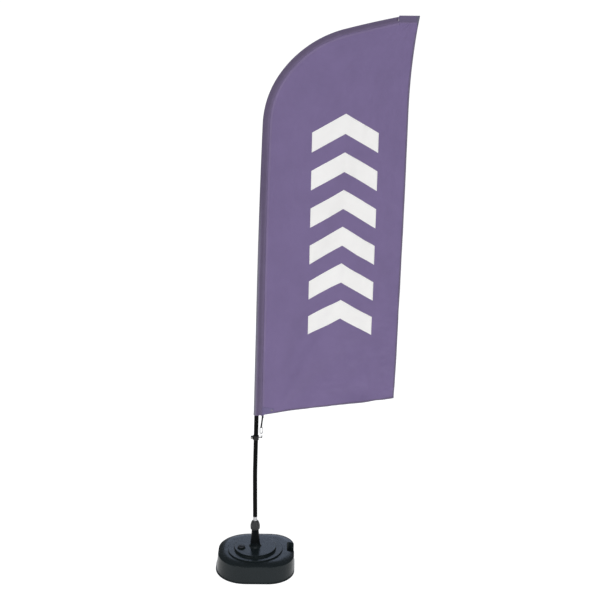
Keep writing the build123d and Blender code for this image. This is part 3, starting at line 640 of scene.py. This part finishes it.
def grid_quads(index):
    corners = [index[:-1, :-1], index[:-1, 1:], index[1:, 1:], index[1:, :-1]]
    return np.stack(corners, -1).reshape(-1, 4)


def slab(front, back):
    """Vertices and faces of the closed slab between two matching grids of points."""
    rows, columns = front.shape[:2]
    count = rows * columns
    index = np.arange(count).reshape(rows, columns)
    rim = np.concatenate([index[0, :-1], index[:-1, -1], index[-1, :0:-1], index[:0:-1, 0]])
    after = np.roll(rim, -1)
    sides = np.stack([rim, rim + count, after + count, after], -1)
    faces = np.concatenate([grid_quads(index), grid_quads(index)[:, ::-1] + count, sides])
    return np.concatenate([front.reshape(-1, 3), back.reshape(-1, 3)]), faces


def tube(rings):
    """Vertices, faces and UV in metres of a closed tube through rings of points, with flat ends."""
    count, around = rings.shape[:2]
    index = np.arange(count * around).reshape(count, around)
    beside = np.roll(index, -1, axis=1)
    sides = np.stack([index[:-1], beside[:-1], beside[1:], index[1:]], -1).reshape(-1, 4).tolist()
    ends = [index[0, ::-1].tolist(), index[-1].tolist()]
    middles = rings.mean(axis=1)
    along = np.concatenate([[0], np.cumsum(np.linalg.norm(np.diff(middles, axis=0), axis=1))])
    edge = np.linalg.norm(np.diff(rings[0], axis=0), axis=1)
    across = np.concatenate([[0], np.cumsum(edge)])
    uv = np.stack(np.broadcast_arrays(across[None, :], along[:, None]), -1).reshape(-1, 2)
    return rings.reshape(-1, 3), sides + ends, uv


def ribbon_rings(path, width, thickness):
    """Rings of a flat strap, wide along X and with rounded edges, along a path of points."""
    path = np.asarray(path, float)
    ahead = np.gradient(path, axis=0)
    ahead /= np.linalg.norm(ahead, axis=1)[:, None]
    wide = np.broadcast_to((1.0, 0.0, 0.0), path.shape)
    thick = np.cross(ahead, wide)
    half, flat = width / 2, thickness / 2
    columns = 9
    top = [(half * t, flat * (1 - abs(t) ** 6 * 0.5)) for t in np.linspace(-1, 1, columns)]
    section = top + [(a, -b) for a, b in reversed(top)]
    return np.stack([path + a * wide + b * thick for a, b in section], axis=1)


# ---------------- pole line and cloth outline ----------------


def pole_station(distance):
    """x, z and heading from upright, at a distance along the pole's centreline."""
    x, z, heading, left = 0.0, POLE_FOOT, 0.0, distance
    for radius, value in POLE_RUNS:
        if radius is None:
            step = min(left, value)
            x += step * math.sin(heading)
            z += step * math.cos(heading)
        else:
            step = min(left, radius * (math.radians(value) - heading))
            turned = heading + step / radius
            x += radius * (math.cos(heading) - math.cos(turned))
            z += radius * (math.sin(turned) - math.sin(heading))
            heading = turned
        left -= step
        if left <= 0:
            break
    return x, z, heading


def beside_pole(distance, offset):
    """x and z of the point a given offset to the fly side of the centreline."""
    x, z, heading = pole_station(distance)
    return x + offset * math.cos(heading), z - offset * math.sin(heading)


def seam_offset(distance):
    return float(np.interp(distance, SEAM_STATIONS, SEAM_OFFSETS))


def through_three(value, first, second, third):
    """x at a height, on the shallow curve through three points."""
    total = 0.0
    points = (first, second, third)
    for index, (x, z) in enumerate(points):
        weight = 1.0
        for other, (_, other_z) in enumerate(points):
            if other != index:
                weight = weight * (value - other_z) / (z - other_z)
        total = total + x * weight
    return total


def fly_x(z):
    if z < FLY_SHOULDER[1]:
        return through_three(z, FLY_BOTTOM, FLY_MIDDLE, FLY_SHOULDER)
    return through_three(z, FLY_SHOULDER, FLY_UPPER_MIDDLE, FLY_TOP)


def foot_z(x):
    """Height of the cloth's lower edge."""
    if x <= TACK_CORNER[0]:
        return TACK_CORNER[1]
    if x <= TACK_CHAMFER[0]:
        share = (x - TACK_CORNER[0]) / (TACK_CHAMFER[0] - TACK_CORNER[0])
        return TACK_CORNER[1] + share * (TACK_CHAMFER[1] - TACK_CORNER[1])
    share = min(1.0, (x - TACK_CHAMFER[0]) / (FLY_BOTTOM[0] - TACK_CHAMFER[0]))
    rise = FLY_BOTTOM[1] - TACK_CHAMFER[1]
    return TACK_CHAMFER[1] + share * rise + 4 * FOOT_BOW * share * (1 - share)


TIP_INNER = beside_pole(POLE_LENGTH, SEAM_AT_TIP)
TIP_OUTER = beside_pole(POLE_LENGTH, SLEEVE_LEFT)
TOP_LEFT = (TIP_OUTER[0] + TIP_CORNER_INSET, FLY_TOP[1])


def left_edge(height):
    """Edge beside the sleeve, for a height share from 0 at the foot to 1 at the top."""
    if height <= MAIN_SHARE:
        reach = POLE_LENGTH - SLEEVE_BOTTOM
        distance = SLEEVE_BOTTOM + reach * height / MAIN_SHARE
        return beside_pole(distance, seam_offset(distance) - TUCK)
    start = beside_pole(POLE_LENGTH, SEAM_AT_TIP - TUCK)
    share = (height - MAIN_SHARE) / (1 - MAIN_SHARE)
    if share < TIP_TURN:
        return tuple(a + (b - a) * share / TIP_TURN for a, b in zip(start, TIP_OUTER))
    return tuple(a + (b - a) * (share - TIP_TURN) / (1 - TIP_TURN) for a, b in zip(TIP_OUTER, TOP_LEFT))


def right_edge(height):
    if height <= MAIN_SHARE:
        z = FLY_BOTTOM[1] + (MAIN_TOP - FLY_BOTTOM[1]) * height / MAIN_SHARE
    else:
        z = MAIN_TOP + (FLY_TOP[1] - MAIN_TOP) * (height - MAIN_SHARE) / (1 - MAIN_SHARE)
    return fly_x(z), z


def panel_points(rows, columns):
    """x and z over the whole cut cloth, as a grid from the foot up and from the sleeve to the fly."""
    points = np.zeros((rows, columns, 2))
    across = np.linspace(0, 1, columns)
    for row, height in enumerate(np.linspace(0, 1, rows)):
        start, end = np.array(left_edge(height)), np.array(right_edge(height))
        points[row] = start + across[:, None] * (end - start)
    curve = np.array([foot_z(x) for x in points[0, :, 0]]) - points[0, :, 1]
    fade = (1 - np.linspace(0, 1, rows)) ** FOOT_FADE
    points[:, :, 1] += fade[:, None] * curve[None, :]
    return points


# ---------------- the cloth's hang ----------------

SIM_ROWS = 116
SIM_COLUMNS = 40
SIM_FRAMES = 45
HANG_LIMIT = 0.015
HANG_SEED = 7
HANG_UNEVENNESS = 0.006
HELD_CORNER = (0.115, 1.0)
FLAT_CORNER = (0.07, 0.965)
FLAT_RADIUS = 0.05
FLY_LOOSE_FROM = 2.2
HANG_SETTINGS = {
    "quality": 7,
    "mass": 0.0006,
    "tension_stiffness": 6.0,
    "compression_stiffness": 4.0,
    "shear_stiffness": 2.0,
    "bending_stiffness": 0.02,
    "tension_damping": 6.0,
    "compression_damping": 6.0,
    "shear_damping": 6.0,
    "air_damping": 2.0,
}
ROWS = 340
COLUMNS = 108
PIN_GROUP = "held"


def hang_cloth(points):
    """Simulates the held cloth hanging, and returns how far each point moves out of its plane."""
    rows, columns = points.shape[:2]
    seeds = np.random.default_rng(HANG_SEED)
    start = np.zeros((rows, columns, 3))
    start[:, :, 0], start[:, :, 2] = points[:, :, 0], points[:, :, 1]
    start[:, :, 1] = smooth_grid(seeds.normal(0, HANG_UNEVENNESS, (rows, columns)), 6)
    held = np.zeros((rows, columns), bool)
    held[:, 0] = True
    held[int(rows * MAIN_SHARE):, :] = True
    held |= (points[:, :, 0] < HELD_CORNER[0]) & (points[:, :, 1] < HELD_CORNER[1])
    start[held, 1] = 0.0
    mesh = bpy.data.meshes.new("hanging")
    index = np.arange(rows * columns).reshape(rows, columns)
    mesh.from_pydata(start.reshape(-1, 3).tolist(), [], grid_quads(index).tolist())
    hanging = bpy.data.objects.new("hanging", mesh)
    bpy.context.scene.collection.objects.link(hanging)
    group = hanging.vertex_groups.new(name=PIN_GROUP)
    group.add(index[held].tolist(), 1.0, "REPLACE")
    modifier = hanging.modifiers.new("Cloth", "CLOTH")
    for name, value in HANG_SETTINGS.items():
        setattr(modifier.settings, name, value)
    modifier.settings.vertex_group_mass = PIN_GROUP
    modifier.collision_settings.use_collision = False
    modifier.collision_settings.use_self_collision = False
    modifier.point_cache.frame_start = 1
    modifier.point_cache.frame_end = SIM_FRAMES
    for number in range(1, SIM_FRAMES + 1):
        bpy.context.scene.frame_set(number)
    shape = hanging.evaluated_get(bpy.context.evaluated_depsgraph_get()).to_mesh()
    moved = np.zeros(rows * columns * 3, np.float32)
    shape.vertices.foreach_get("co", moved)
    bpy.data.objects.remove(hanging)
    bpy.context.scene.frame_set(1)
    out = moved.reshape(rows, columns, 3)[:, :, 1].astype(float)
    out = smooth_grid(out, 2)
    out[held] = 0.0
    return out


def smooth_grid(values, rounds):
    values = np.array(values, float)
    for _ in range(rounds):
        padded = np.pad(values, 1, mode="edge")
        above, below = padded[:-2, 1:-1], padded[2:, 1:-1]
        before, after = padded[1:-1, :-2], padded[1:-1, 2:]
        values = (4 * padded[1:-1, 1:-1] + above + below + before + after) / 8
    return values


def refine(values, rows, columns):
    """The same smooth values on a finer grid."""
    across = np.linspace(0, values.shape[1] - 1, columns)
    up = np.linspace(0, values.shape[0] - 1, rows)
    wide = np.stack([cubic(across, line) for line in values])
    return np.stack([cubic(up, line) for line in wide.T]).T


def cubic(places, line):
    """Values between the given ones, on a smooth curve through them."""
    base = np.clip(np.floor(places).astype(int), 0, len(line) - 2)
    share = places - base
    before, here = line[np.maximum(base - 1, 0)], line[base]
    after, beyond = line[base + 1], line[np.minimum(base + 2, len(line) - 1)]
    slope_here, slope_after = (after - before) / 2, (beyond - here) / 2
    return (
        here * (1 + 2 * share) * (1 - share) ** 2
        + slope_here * share * (1 - share) ** 2
        + after * share**2 * (3 - 2 * share)
        + slope_after * share**2 * (share - 1)
    )


def pucker(along, pitch):
    """An uneven ripple along a seam, from -1 to 1."""
    return np.sin(math.tau * along / pitch + 2.1 * np.sin(along / 0.0113) + 1.3 * np.sin(along / 0.0191))


def edge_pucker(height, along, pitch, away, fade):
    return height * pucker(along, pitch) * np.exp(-away / fade)


coarse = panel_points(SIM_ROWS, SIM_COLUMNS)
hang = hang_cloth(coarse)
hang = HANG_LIMIT * np.tanh(hang / HANG_LIMIT)

panel = panel_points(ROWS, COLUMNS)
depth = refine(hang, ROWS, COLUMNS)
from_seam = np.linalg.norm(panel - panel[:, :1], axis=2)
from_fly = np.linalg.norm(panel - panel[:, -1:], axis=2)
from_foot = panel[:, :, 1] - panel[:1, :, 1]
seam_run = np.linspace(0, POLE_LENGTH - SLEEVE_BOTTOM, ROWS)[:, None]
high = np.clip((panel[:, :, 1] - FLY_LOOSE_FROM) / 0.9, 0, 1)
depth += edge_pucker(0.00035, seam_run, 0.0173, from_seam, 0.03)
depth += edge_pucker(0.00025 + 0.0005 * high, panel[:, :, 1] + 0.3, 0.0191, from_fly, 0.022)
depth += edge_pucker(0.00025, panel[:, :, 0], 0.0177, from_foot, 0.02)
from_tack = np.hypot(panel[:, :, 0] - FLAT_CORNER[0], panel[:, :, 1] - FLAT_CORNER[1])
depth *= np.clip((from_tack - FLAT_RADIUS) / 0.08, 0, 1) ** 0.7

middle = np.stack([panel[:, :, 0], depth, panel[:, :, 1]], -1)
SURFACE = BVHTree.FromPolygons(
    middle.reshape(-1, 3).tolist(), grid_quads(np.arange(ROWS * COLUMNS).reshape(ROWS, COLUMNS)).tolist()
)


def cloth_y(x, z):
    """How far the cloth's middle lies out of its plane, at a place on it or just past its edge."""
    hit = SURFACE.ray_cast(Vector((x, -1, z)), Vector((0, 1, 0)))[0]
    if hit is None:
        hit = SURFACE.find_nearest(Vector((x, 0, z)))[0]
    return hit.y


# ---------------- the cloth panel ----------------


def make_panel():
    front, back = middle.copy(), middle.copy()
    front[:, :, 1] -= CLOTH / 2
    back[:, :, 1] += CLOTH / 2
    vertices, faces = slab(front, back)
    return add_piece("cloth_panel", vertices, faces, LOOKS["flag_cloth"], "flagpole")


# ---------------- the sleeve ----------------


def sleeve_side(nose, seam):
    """Half the sleeve's outer section, from the seam allowance's edge round to the outer edge."""
    centre = SLEEVE_LEFT + nose
    lift = CLOTH / 2 + SLEEVE_WALL + 0.0001
    reach = math.hypot(seam - centre, lift)
    touch = math.atan2(lift, seam - centre) + math.acos(nose / reach)
    points = [(seam + SEAM_ALLOWANCE * (1 - t), lift) for t in np.linspace(0, 1, 3)[:-1]]
    landing = (centre + nose * math.cos(touch), nose * math.sin(touch))
    for t in np.linspace(0, 1, 10)[:-1]:
        slack = 0.0009 * math.sin(math.pi * t) * (1 - t)
        points.append((seam + (landing[0] - seam) * t, lift + (landing[1] - lift) * t - slack))
    for t in np.linspace(0, 1, 13):
        turn = touch + (math.pi - touch) * t
        points.append((centre + nose * math.cos(turn), nose * math.sin(turn)))
    return np.array(points)


def inward(points, amount):
    """The section moved in by a wall's thickness."""
    ahead = np.gradient(points, axis=0)
    ahead /= np.linalg.norm(ahead, axis=1)[:, None]
    return points + np.reshape(amount, (-1, 1)) * np.stack([-ahead[:, 1], ahead[:, 0]], -1)


def sleeve_section(distance):
    nose = float(np.interp(distance, NOSE_STATIONS, NOSE_RADII))
    half = sleeve_side(nose, seam_offset(distance))
    outer = np.concatenate([half, (half * (1, -1))[-2::-1]])
    place = np.abs(np.linspace(-1, 1, len(outer)))
    run = distance + 0.013 * place
    crown = np.clip((distance - 2.2) / 0.3, 0, 1)
    ripple = 0.5 + 0.5 * pucker(run, 0.0171 + 0.004 * crown)
    slow = 0.5 + 0.5 * np.sin(distance / 0.021 + 3.0 * place) * np.sin(distance / 0.047)
    swell = (0.0003 + 0.0006 * crown) * ripple * place**2 + 0.0004 * slow * (1 - place) * place * 4
    swell *= np.clip(4 * place * (1.02 - place) + 0.2, 0, 1)
    folded = SLEEVE_FOLD if distance < SLEEVE_BOTTOM + SLEEVE_HEM else 0.0
    outer = inward(outer, -(swell + folded * (place < 0.9)))
    closing = np.clip((POLE_LENGTH - distance) / 0.010, 0.22, 1)
    inner = inward(outer, SLEEVE_WALL)
    section = np.concatenate([outer, inner[::-1]])
    section[:, 1] *= closing
    across = 1 - place
    return section, np.concatenate([across, across[::-1]])


def make_sleeve():
    stations = np.concatenate(
        [
            np.linspace(SLEEVE_BOTTOM, SLEEVE_BOTTOM + SLEEVE_HEM, 5),
            np.linspace(SLEEVE_BOTTOM + SLEEVE_HEM + 0.0008, POLE_LENGTH - 0.012, 420),
            np.linspace(POLE_LENGTH - 0.011, POLE_LENGTH - 0.0005, 8),
        ]
    )
    rings, uv = [], []
    for distance in stations:
        x, z, heading = pole_station(distance)
        section, across = sleeve_section(distance)
        ring = np.zeros((len(section), 3))
        ring[:, 0] = x + section[:, 0] * math.cos(heading)
        ring[:, 1] = section[:, 1]
        ring[:, 2] = z - section[:, 0] * math.sin(heading)
        rings.append(ring)
        uv.append(np.stack([across, np.full(len(across), distance)], -1))
    vertices, faces, _ = tube(np.array(rings))
    look, uv = LOOKS["sleeve_cloth"], np.concatenate(uv)
    return add_piece("pole_sleeve_cloth", vertices, faces, look, "flagpole", uv=uv)


# ---------------- strips, bands and patches ----------------


def oval(half_width, half_height, count=12):
    turns = np.linspace(0, math.tau, count, endpoint=False)
    return [(half_width * math.cos(t), half_height * math.sin(t)) for t in turns]


def strip(name, stations, section, material):
    """A strip round the cloth. Its stations are x, z and the direction across it in the cloth's plane."""
    rings = []
    for x, z, across_x, across_z in stations:
        y = cloth_y(x, z)
        rings.append([(x + a * across_x, y + b, z + a * across_z) for a, b in section])
    vertices, faces, uv = tube(np.array(rings))
    return add_piece(name, vertices, faces, material, "flagpole", uv=uv)


def seam_stations(offset, count, start=SLEEVE_BOTTOM, end=POLE_LENGTH):
    for distance in np.linspace(start, end, count):
        x, z = beside_pole(distance, seam_offset(distance) + offset)
        heading = pole_station(distance)[2]
        yield x, z, math.cos(heading), -math.sin(heading)


def fly_stations(count, inset=0.0):
    for z in np.linspace(FLY_BOTTOM[1], FLY_TOP[1], count):
        slope = (fly_x(z + 0.002) - fly_x(z - 0.002)) / 0.004
        size = math.hypot(1, slope)
        yield fly_x(z) - inset / size, z + inset * slope / size, 1 / size, -slope / size


def foot_stations(count, inset=0.0):
    for x in np.linspace(TACK_CHAMFER[0] + 0.004, FLY_BOTTOM[0] - 0.001, count):
        slope = (foot_z(x + 0.001) - foot_z(x - 0.001)) / 0.002
        size = math.hypot(1, slope)
        yield x - inset * slope / size, foot_z(x) + inset / size, slope / size, -1 / size


def hem_section(width, half):
    """A folded hem's section: positive is past the cloth's edge."""
    side = [
        (-width, half * 0.8),
        (-width * 0.6, half * 1.05),
        (-width * 0.25, half),
        (0.0003, half * 0.95),
        (0.0009, half * 0.45),
    ]
    return [(a, -b) for a, b in side] + side[::-1]


def patch_slab(name, points, half, material):
    """A patch on both faces of the cloth, from a grid of x and z."""
    lift = np.array([[cloth_y(x, z) for x, z in row] for row in points])
    front = np.stack([points[:, :, 0], lift - half, points[:, :, 1]], -1)
    back = np.stack([points[:, :, 0], lift + half, points[:, :, 1]], -1)
    vertices, faces = slab(front, back)
    return add_piece(name, vertices, faces, material, "flagpole")


def make_top_band():
    rows, columns = 13, 60
    points = np.zeros((rows, columns, 2))
    for row, share in enumerate(np.linspace(0, 1, rows)):
        z = BAND_FOOT + share * (FLY_TOP[1] + 0.0004 - BAND_FOOT)
        left = TIP_INNER[0] + (TOP_LEFT[0] - TIP_INNER[0]) * share - 0.0015
        points[row, :, 0] = np.linspace(left, fly_x(min(z, FLY_TOP[1])), columns)
        points[row, :, 1] = z
    return patch_slab("top_band", points, BAND_HALF, BAND_CLOTH)


def make_fly_corner():
    """Dark reinforcement that narrows down the fly edge from the top corner."""
    rows, columns = 16, 6
    points = np.zeros((rows, columns, 2))
    for row, share in enumerate(np.linspace(0, 1, rows)):
        z = FLY_CORNER_FOOT + share * (FLY_TOP[1] + 0.0006 - FLY_CORNER_FOOT)
        edge = fly_x(min(z, FLY_TOP[1])) + 0.0012
        width = FLY_CORNER_WIDTHS[0] + (FLY_CORNER_WIDTHS[1] - FLY_CORNER_WIDTHS[0]) * share
        points[row, :, 0] = np.linspace(edge - width, edge, columns)
        points[row, :, 1] = z
    return patch_slab("fly_corner_patch", points, FLY_CORNER_HALF, CORNER_CLOTH)


def make_tack_patch():
    """Corner patch on both faces, with a round hole for the eyelet."""
    count, layers = 96, 6
    turns = np.linspace(0, math.tau, count, endpoint=False)
    corners = np.array(PATCH_OUTLINE)
    points = np.zeros((layers, count, 2))
    for column, turn in enumerate(turns):
        ray = np.array([math.cos(turn), math.sin(turn)])
        reach = min(ray_reach(ray, a, b) for a, b in zip(corners, np.roll(corners, -1, axis=0)))
        for layer, share in enumerate(np.linspace(0, 1, layers)):
            out = EYELET_HOLE + (reach - EYELET_HOLE) * share**1.3
            points[layer, column] = np.array(EYELET) + ray * out
    flat = points.reshape(-1, 2)
    half = np.where(np.arange(layers * count) >= (layers - 1) * count, 0.6, 1.0) * PATCH_HALF
    front = np.stack([flat[:, 0], -half, flat[:, 1]], -1)
    back = np.stack([flat[:, 0], half, flat[:, 1]], -1)
    index = np.arange(layers * count).reshape(layers, count)
    index = np.concatenate([index, index[:, :1]], axis=1)
    quads = grid_quads(index)
    walls = []
    for ring in (index[0], index[-1]):
        walls.append(np.stack([ring[:-1], ring[1:], ring[1:] + len(flat), ring[:-1] + len(flat)], -1))
    faces = np.concatenate([quads, quads[:, ::-1] + len(flat)] + walls)
    vertices = np.concatenate([front, back])
    return add_piece("tack_patch", vertices, faces, PATCH_CLOTH, "flagpole")


def ray_reach(ray, start, end):
    """Distance from the eyelet along a ray to one side of the patch."""
    side = end - start
    gap = start - np.array(EYELET)
    cross = ray[0] * side[1] - ray[1] * side[0]
    if abs(cross) < 1e-12:
        return 1.0
    reach = (gap[0] * side[1] - gap[1] * side[0]) / cross
    share = (gap[0] * ray[1] - gap[1] * ray[0]) / cross
    return reach if reach > 0 and -1e-9 <= share <= 1 + 1e-9 else 1.0


# ---------------- printed chevrons ----------------


def make_print():
    """White chevrons printed through the cloth, on both faces."""
    rows, columns = 19, 71
    vertices, faces, total = [], [], 0
    for number in range(CHEVRONS):
        foot = CHEVRON_FOOT + CHEVRON_PITCH * number
        share = (foot - CHEVRON_FOOT) / (PRINT_TOP - CHEVRON_FOOT)
        centre = PRINT_CENTRE_LOW + (PRINT_CENTRE_HIGH - PRINT_CENTRE_LOW) * share
        slope = (PRINT_CENTRE_HIGH - PRINT_CENTRE_LOW) / (PRINT_TOP - CHEVRON_FOOT)
        lift = np.zeros((rows, columns))
        place = np.zeros((rows, columns, 2))
        for row, up in enumerate(np.linspace(0, 1, rows)):
            for column, side in enumerate(np.linspace(-1, 1, columns)):
                rise = CHEVRON_RISE * (1 - abs(side)) + CHEVRON_THICKNESS * up
                x = centre + side * CHEVRON_HALF_WIDTH + slope * rise
                place[row, column] = (x, foot + rise)
                lift[row, column] = cloth_y(x, foot + rise)
        x, z = place[:, :, 0], place[:, :, 1]
        for face in (-1, 1):
            outer = np.stack([x, lift + face * (CLOTH / 2 + PRINT_FILM), z], -1)
            inner = np.stack([x, lift + face * CLOTH / 4, z], -1)
            made, quads = slab(outer, inner)
            vertices.append(made)
            faces.append(quads + total)
            total += len(made)
    vertices, faces = np.concatenate(vertices), np.concatenate(faces)
    return add_piece("chevron_print", vertices, faces, PRINT_WHITE, "flagpole")


# ---------------- stitches ----------------


def bead(place, ahead, out):
    """One raised stitch: a small spindle lying along a direction."""
    ahead, out = np.array(ahead, float), np.array(out, float)
    side = np.cross(ahead, out)
    place = np.array(place, float)
    points = [place - ahead * STITCH_LENGTH / 2]
    for step in (-0.28, 0.28):
        for turn in np.linspace(0, math.tau, 5, endpoint=False):
            across = side * math.cos(turn) + out * math.sin(turn)
            points.append(place + ahead * STITCH_LENGTH * step + across * STITCH_WIDTH / 2)
    points.append(place + ahead * STITCH_LENGTH / 2)
    faces = []
    for k in range(5):
        a, b = 1 + k, 1 + (k + 1) % 5
        faces += [(0, b, a), (a, b, b + 5, a + 5), (a + 5, b + 5, 11)]
    return points, faces


def stitches(name, rows, material, pitch=STITCH_PITCH):
    """Rows of stitches on both faces. A row is its x, z points and its lift off the cloth's middle."""
    vertices, faces = [], []
    for line, lift in rows:
        line = np.array(line)
        runs = np.concatenate([[0], np.cumsum(np.linalg.norm(np.diff(line, axis=0), axis=1))])
        for number in range(int(runs[-1] / pitch)):
            run = (number + 0.5) * pitch
            x, z = (np.interp(run, runs, line[:, axis]) for axis in (0, 1))
            next_x, next_z = (np.interp(run + 0.001, runs, line[:, axis]) for axis in (0, 1))
            ahead = np.array([next_x - x, 0, next_z - z])
            ahead /= max(1e-9, np.linalg.norm(ahead))
            for side in (-1, 1):
                points, made = bead((x, cloth_y(x, z) + side * lift, z), ahead, (0, side, 0))
                faces += [[corner + len(vertices) for corner in face] for face in made]
                vertices += points
    return add_piece(name, vertices, faces, material, "flagpole")


def seam_line(offset):
    stations = seam_stations(offset, 300, SLEEVE_BOTTOM + 0.002, POLE_LENGTH - 0.004)
    return [(x, z) for x, z, _, _ in stations]


# ---------------- straps ----------------


def webbing(name, rings, body):
    vertices, faces, uv = tube(rings)
    return add_piece(name, vertices, faces, LOOKS["webbing"], body, uv=uv)


def make_tab():
    path = [(STRAP_X, STRAP_Y + 0.0001, z) for z in np.linspace(STRAP_TOP - 0.004, TAB_TOP, 18)]
    return webbing("corner_webbing", ribbon_rings(path, STRAP_WIDTH + 0.001, TAB_THICKNESS), "flagpole")


def make_strap():
    """The elastic strap, thinner at mid length where it is stretched."""
    start = np.array([STRAP_X, STRAP_Y, STRAP_TOP + 0.004])
    end = np.array([LINK_X, 0, STRAP_FOOT - 0.0045])
    shares = np.linspace(0, 1, 40)
    path = [start + (end - start) * t for t in shares]
    rings = ribbon_rings(path, STRAP_WIDTH, STRAP_THICKNESS)
    for ring, share in zip(rings, shares):
        waist = 1 - STRAP_WAIST * math.sin(math.pi * share)
        centre = ring.mean(axis=0)
        ring[:, 0] = centre[0] + (ring[:, 0] - centre[0]) * waist
    return webbing("elastic_strap_webbing", rings, None)


def make_loop():
    """Webbing folded round the snap hook's top bow, its two ends either side of the strap."""
    low, high = LOOP_LEGS
    path = [(LINK_X, LOOP_GAP, z) for z in np.linspace(high, low, 8)]
    for turn in np.linspace(0.16 * math.pi, -1.16 * math.pi, 28):
        path.append((LINK_X, BOW_RADIUS * math.cos(turn), HOOK_BOW + BOW_RADIUS * math.sin(turn)))
    path += [(LINK_X, -LOOP_GAP, z) for z in np.linspace(low, high, 8)]
    return webbing("strap_fold", ribbon_rings(path, STRAP_WIDTH - 0.0016, LOOP_THICKNESS), "clamp")


# ---------------- assembly ----------------

cloth = make_panel()
sleeve = make_sleeve()
welt_stations = seam_stations(SEAM_ALLOWANCE + WELT_OFFSET, 420)
welt = strip("seam_welt", welt_stations, oval(*SEAM_WELT), WELT_HIGHLIGHT_CLOTH)
fly_hem = strip("fly_hem", fly_stations(330), hem_section(*FLY_HEM), HEM_CLOTH)
foot_hem = strip("foot_hem", foot_stations(150), hem_section(*FOOT_HEM), HEM_CLOTH)
band = make_top_band()
band_run = np.linspace(TIP_INNER[0] + 0.001, fly_x(BAND_FOOT) - 0.004, 40)
band_stations = [(x, BAND_FOOT - BAND_WELT_DROP, 0.0, 1.0) for x in band_run]
band_welt = strip("band_welt", band_stations, oval(*BAND_WELT), WELT_HIGHLIGHT_CLOTH)
corner = make_fly_corner()
tack_patch = make_tack_patch()
printed = make_print()

sleeve_rows = [(seam_line(offset), SEAM_STITCH_LIFT) for offset in (0.0012, 0.0028)]
sleeve_stitches = stitches("sleeve_stitches", sleeve_rows, THREAD)
fly_line = [(x, z) for x, z, _, _ in fly_stations(300, inset=0.0056)][:-8]
foot_line = [(x, z) for x, z, _, _ in foot_stations(120, inset=0.0062)]
hem_rows = [(fly_line, FLY_HEM[1] + STITCH_PROUD), (foot_line, FOOT_HEM[1] + STITCH_PROUD)]
hem_stitches = stitches("hem_stitches", hem_rows, THREAD)
patch_rows = []
for level in (0.003, 0.019, 0.035):
    z = BAND_FOOT + level
    patch_rows.append(([(TIP_INNER[0] + 0.002, z), (fly_x(z) - 0.012, z)], BAND_HALF + 0.00008))
patch_rows += [(line, PATCH_HALF + STITCH_PROUD) for line in (PATCH_SEAM, PATCH_FOLD)]
patch_stitches = stitches("patch_stitches", patch_rows, THREAD)
tip_rows = []
for number in range(BARTACK_ROWS):
    x, z = BARTACK_START[0] + BARTACK_PITCH * number, BARTACK_START[1]
    tip_rows.append(([(x, z), (x + 0.001, z + BARTACK_HEIGHT)], BARTACK_LIFT))
tip_bartack = stitches("tip_bartack", tip_rows, PALE_THREAD, pitch=BARTACK_STITCH)
tab = make_tab()
strap = make_strap()
fold = make_loop()

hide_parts("flag_panel")
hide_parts("pole_sleeve")
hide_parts("top_corner_patches")
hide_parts("tack_corner_patches")
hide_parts("strap_tab")
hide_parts("elastic_strap")
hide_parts("strap_loop")
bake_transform(strap)
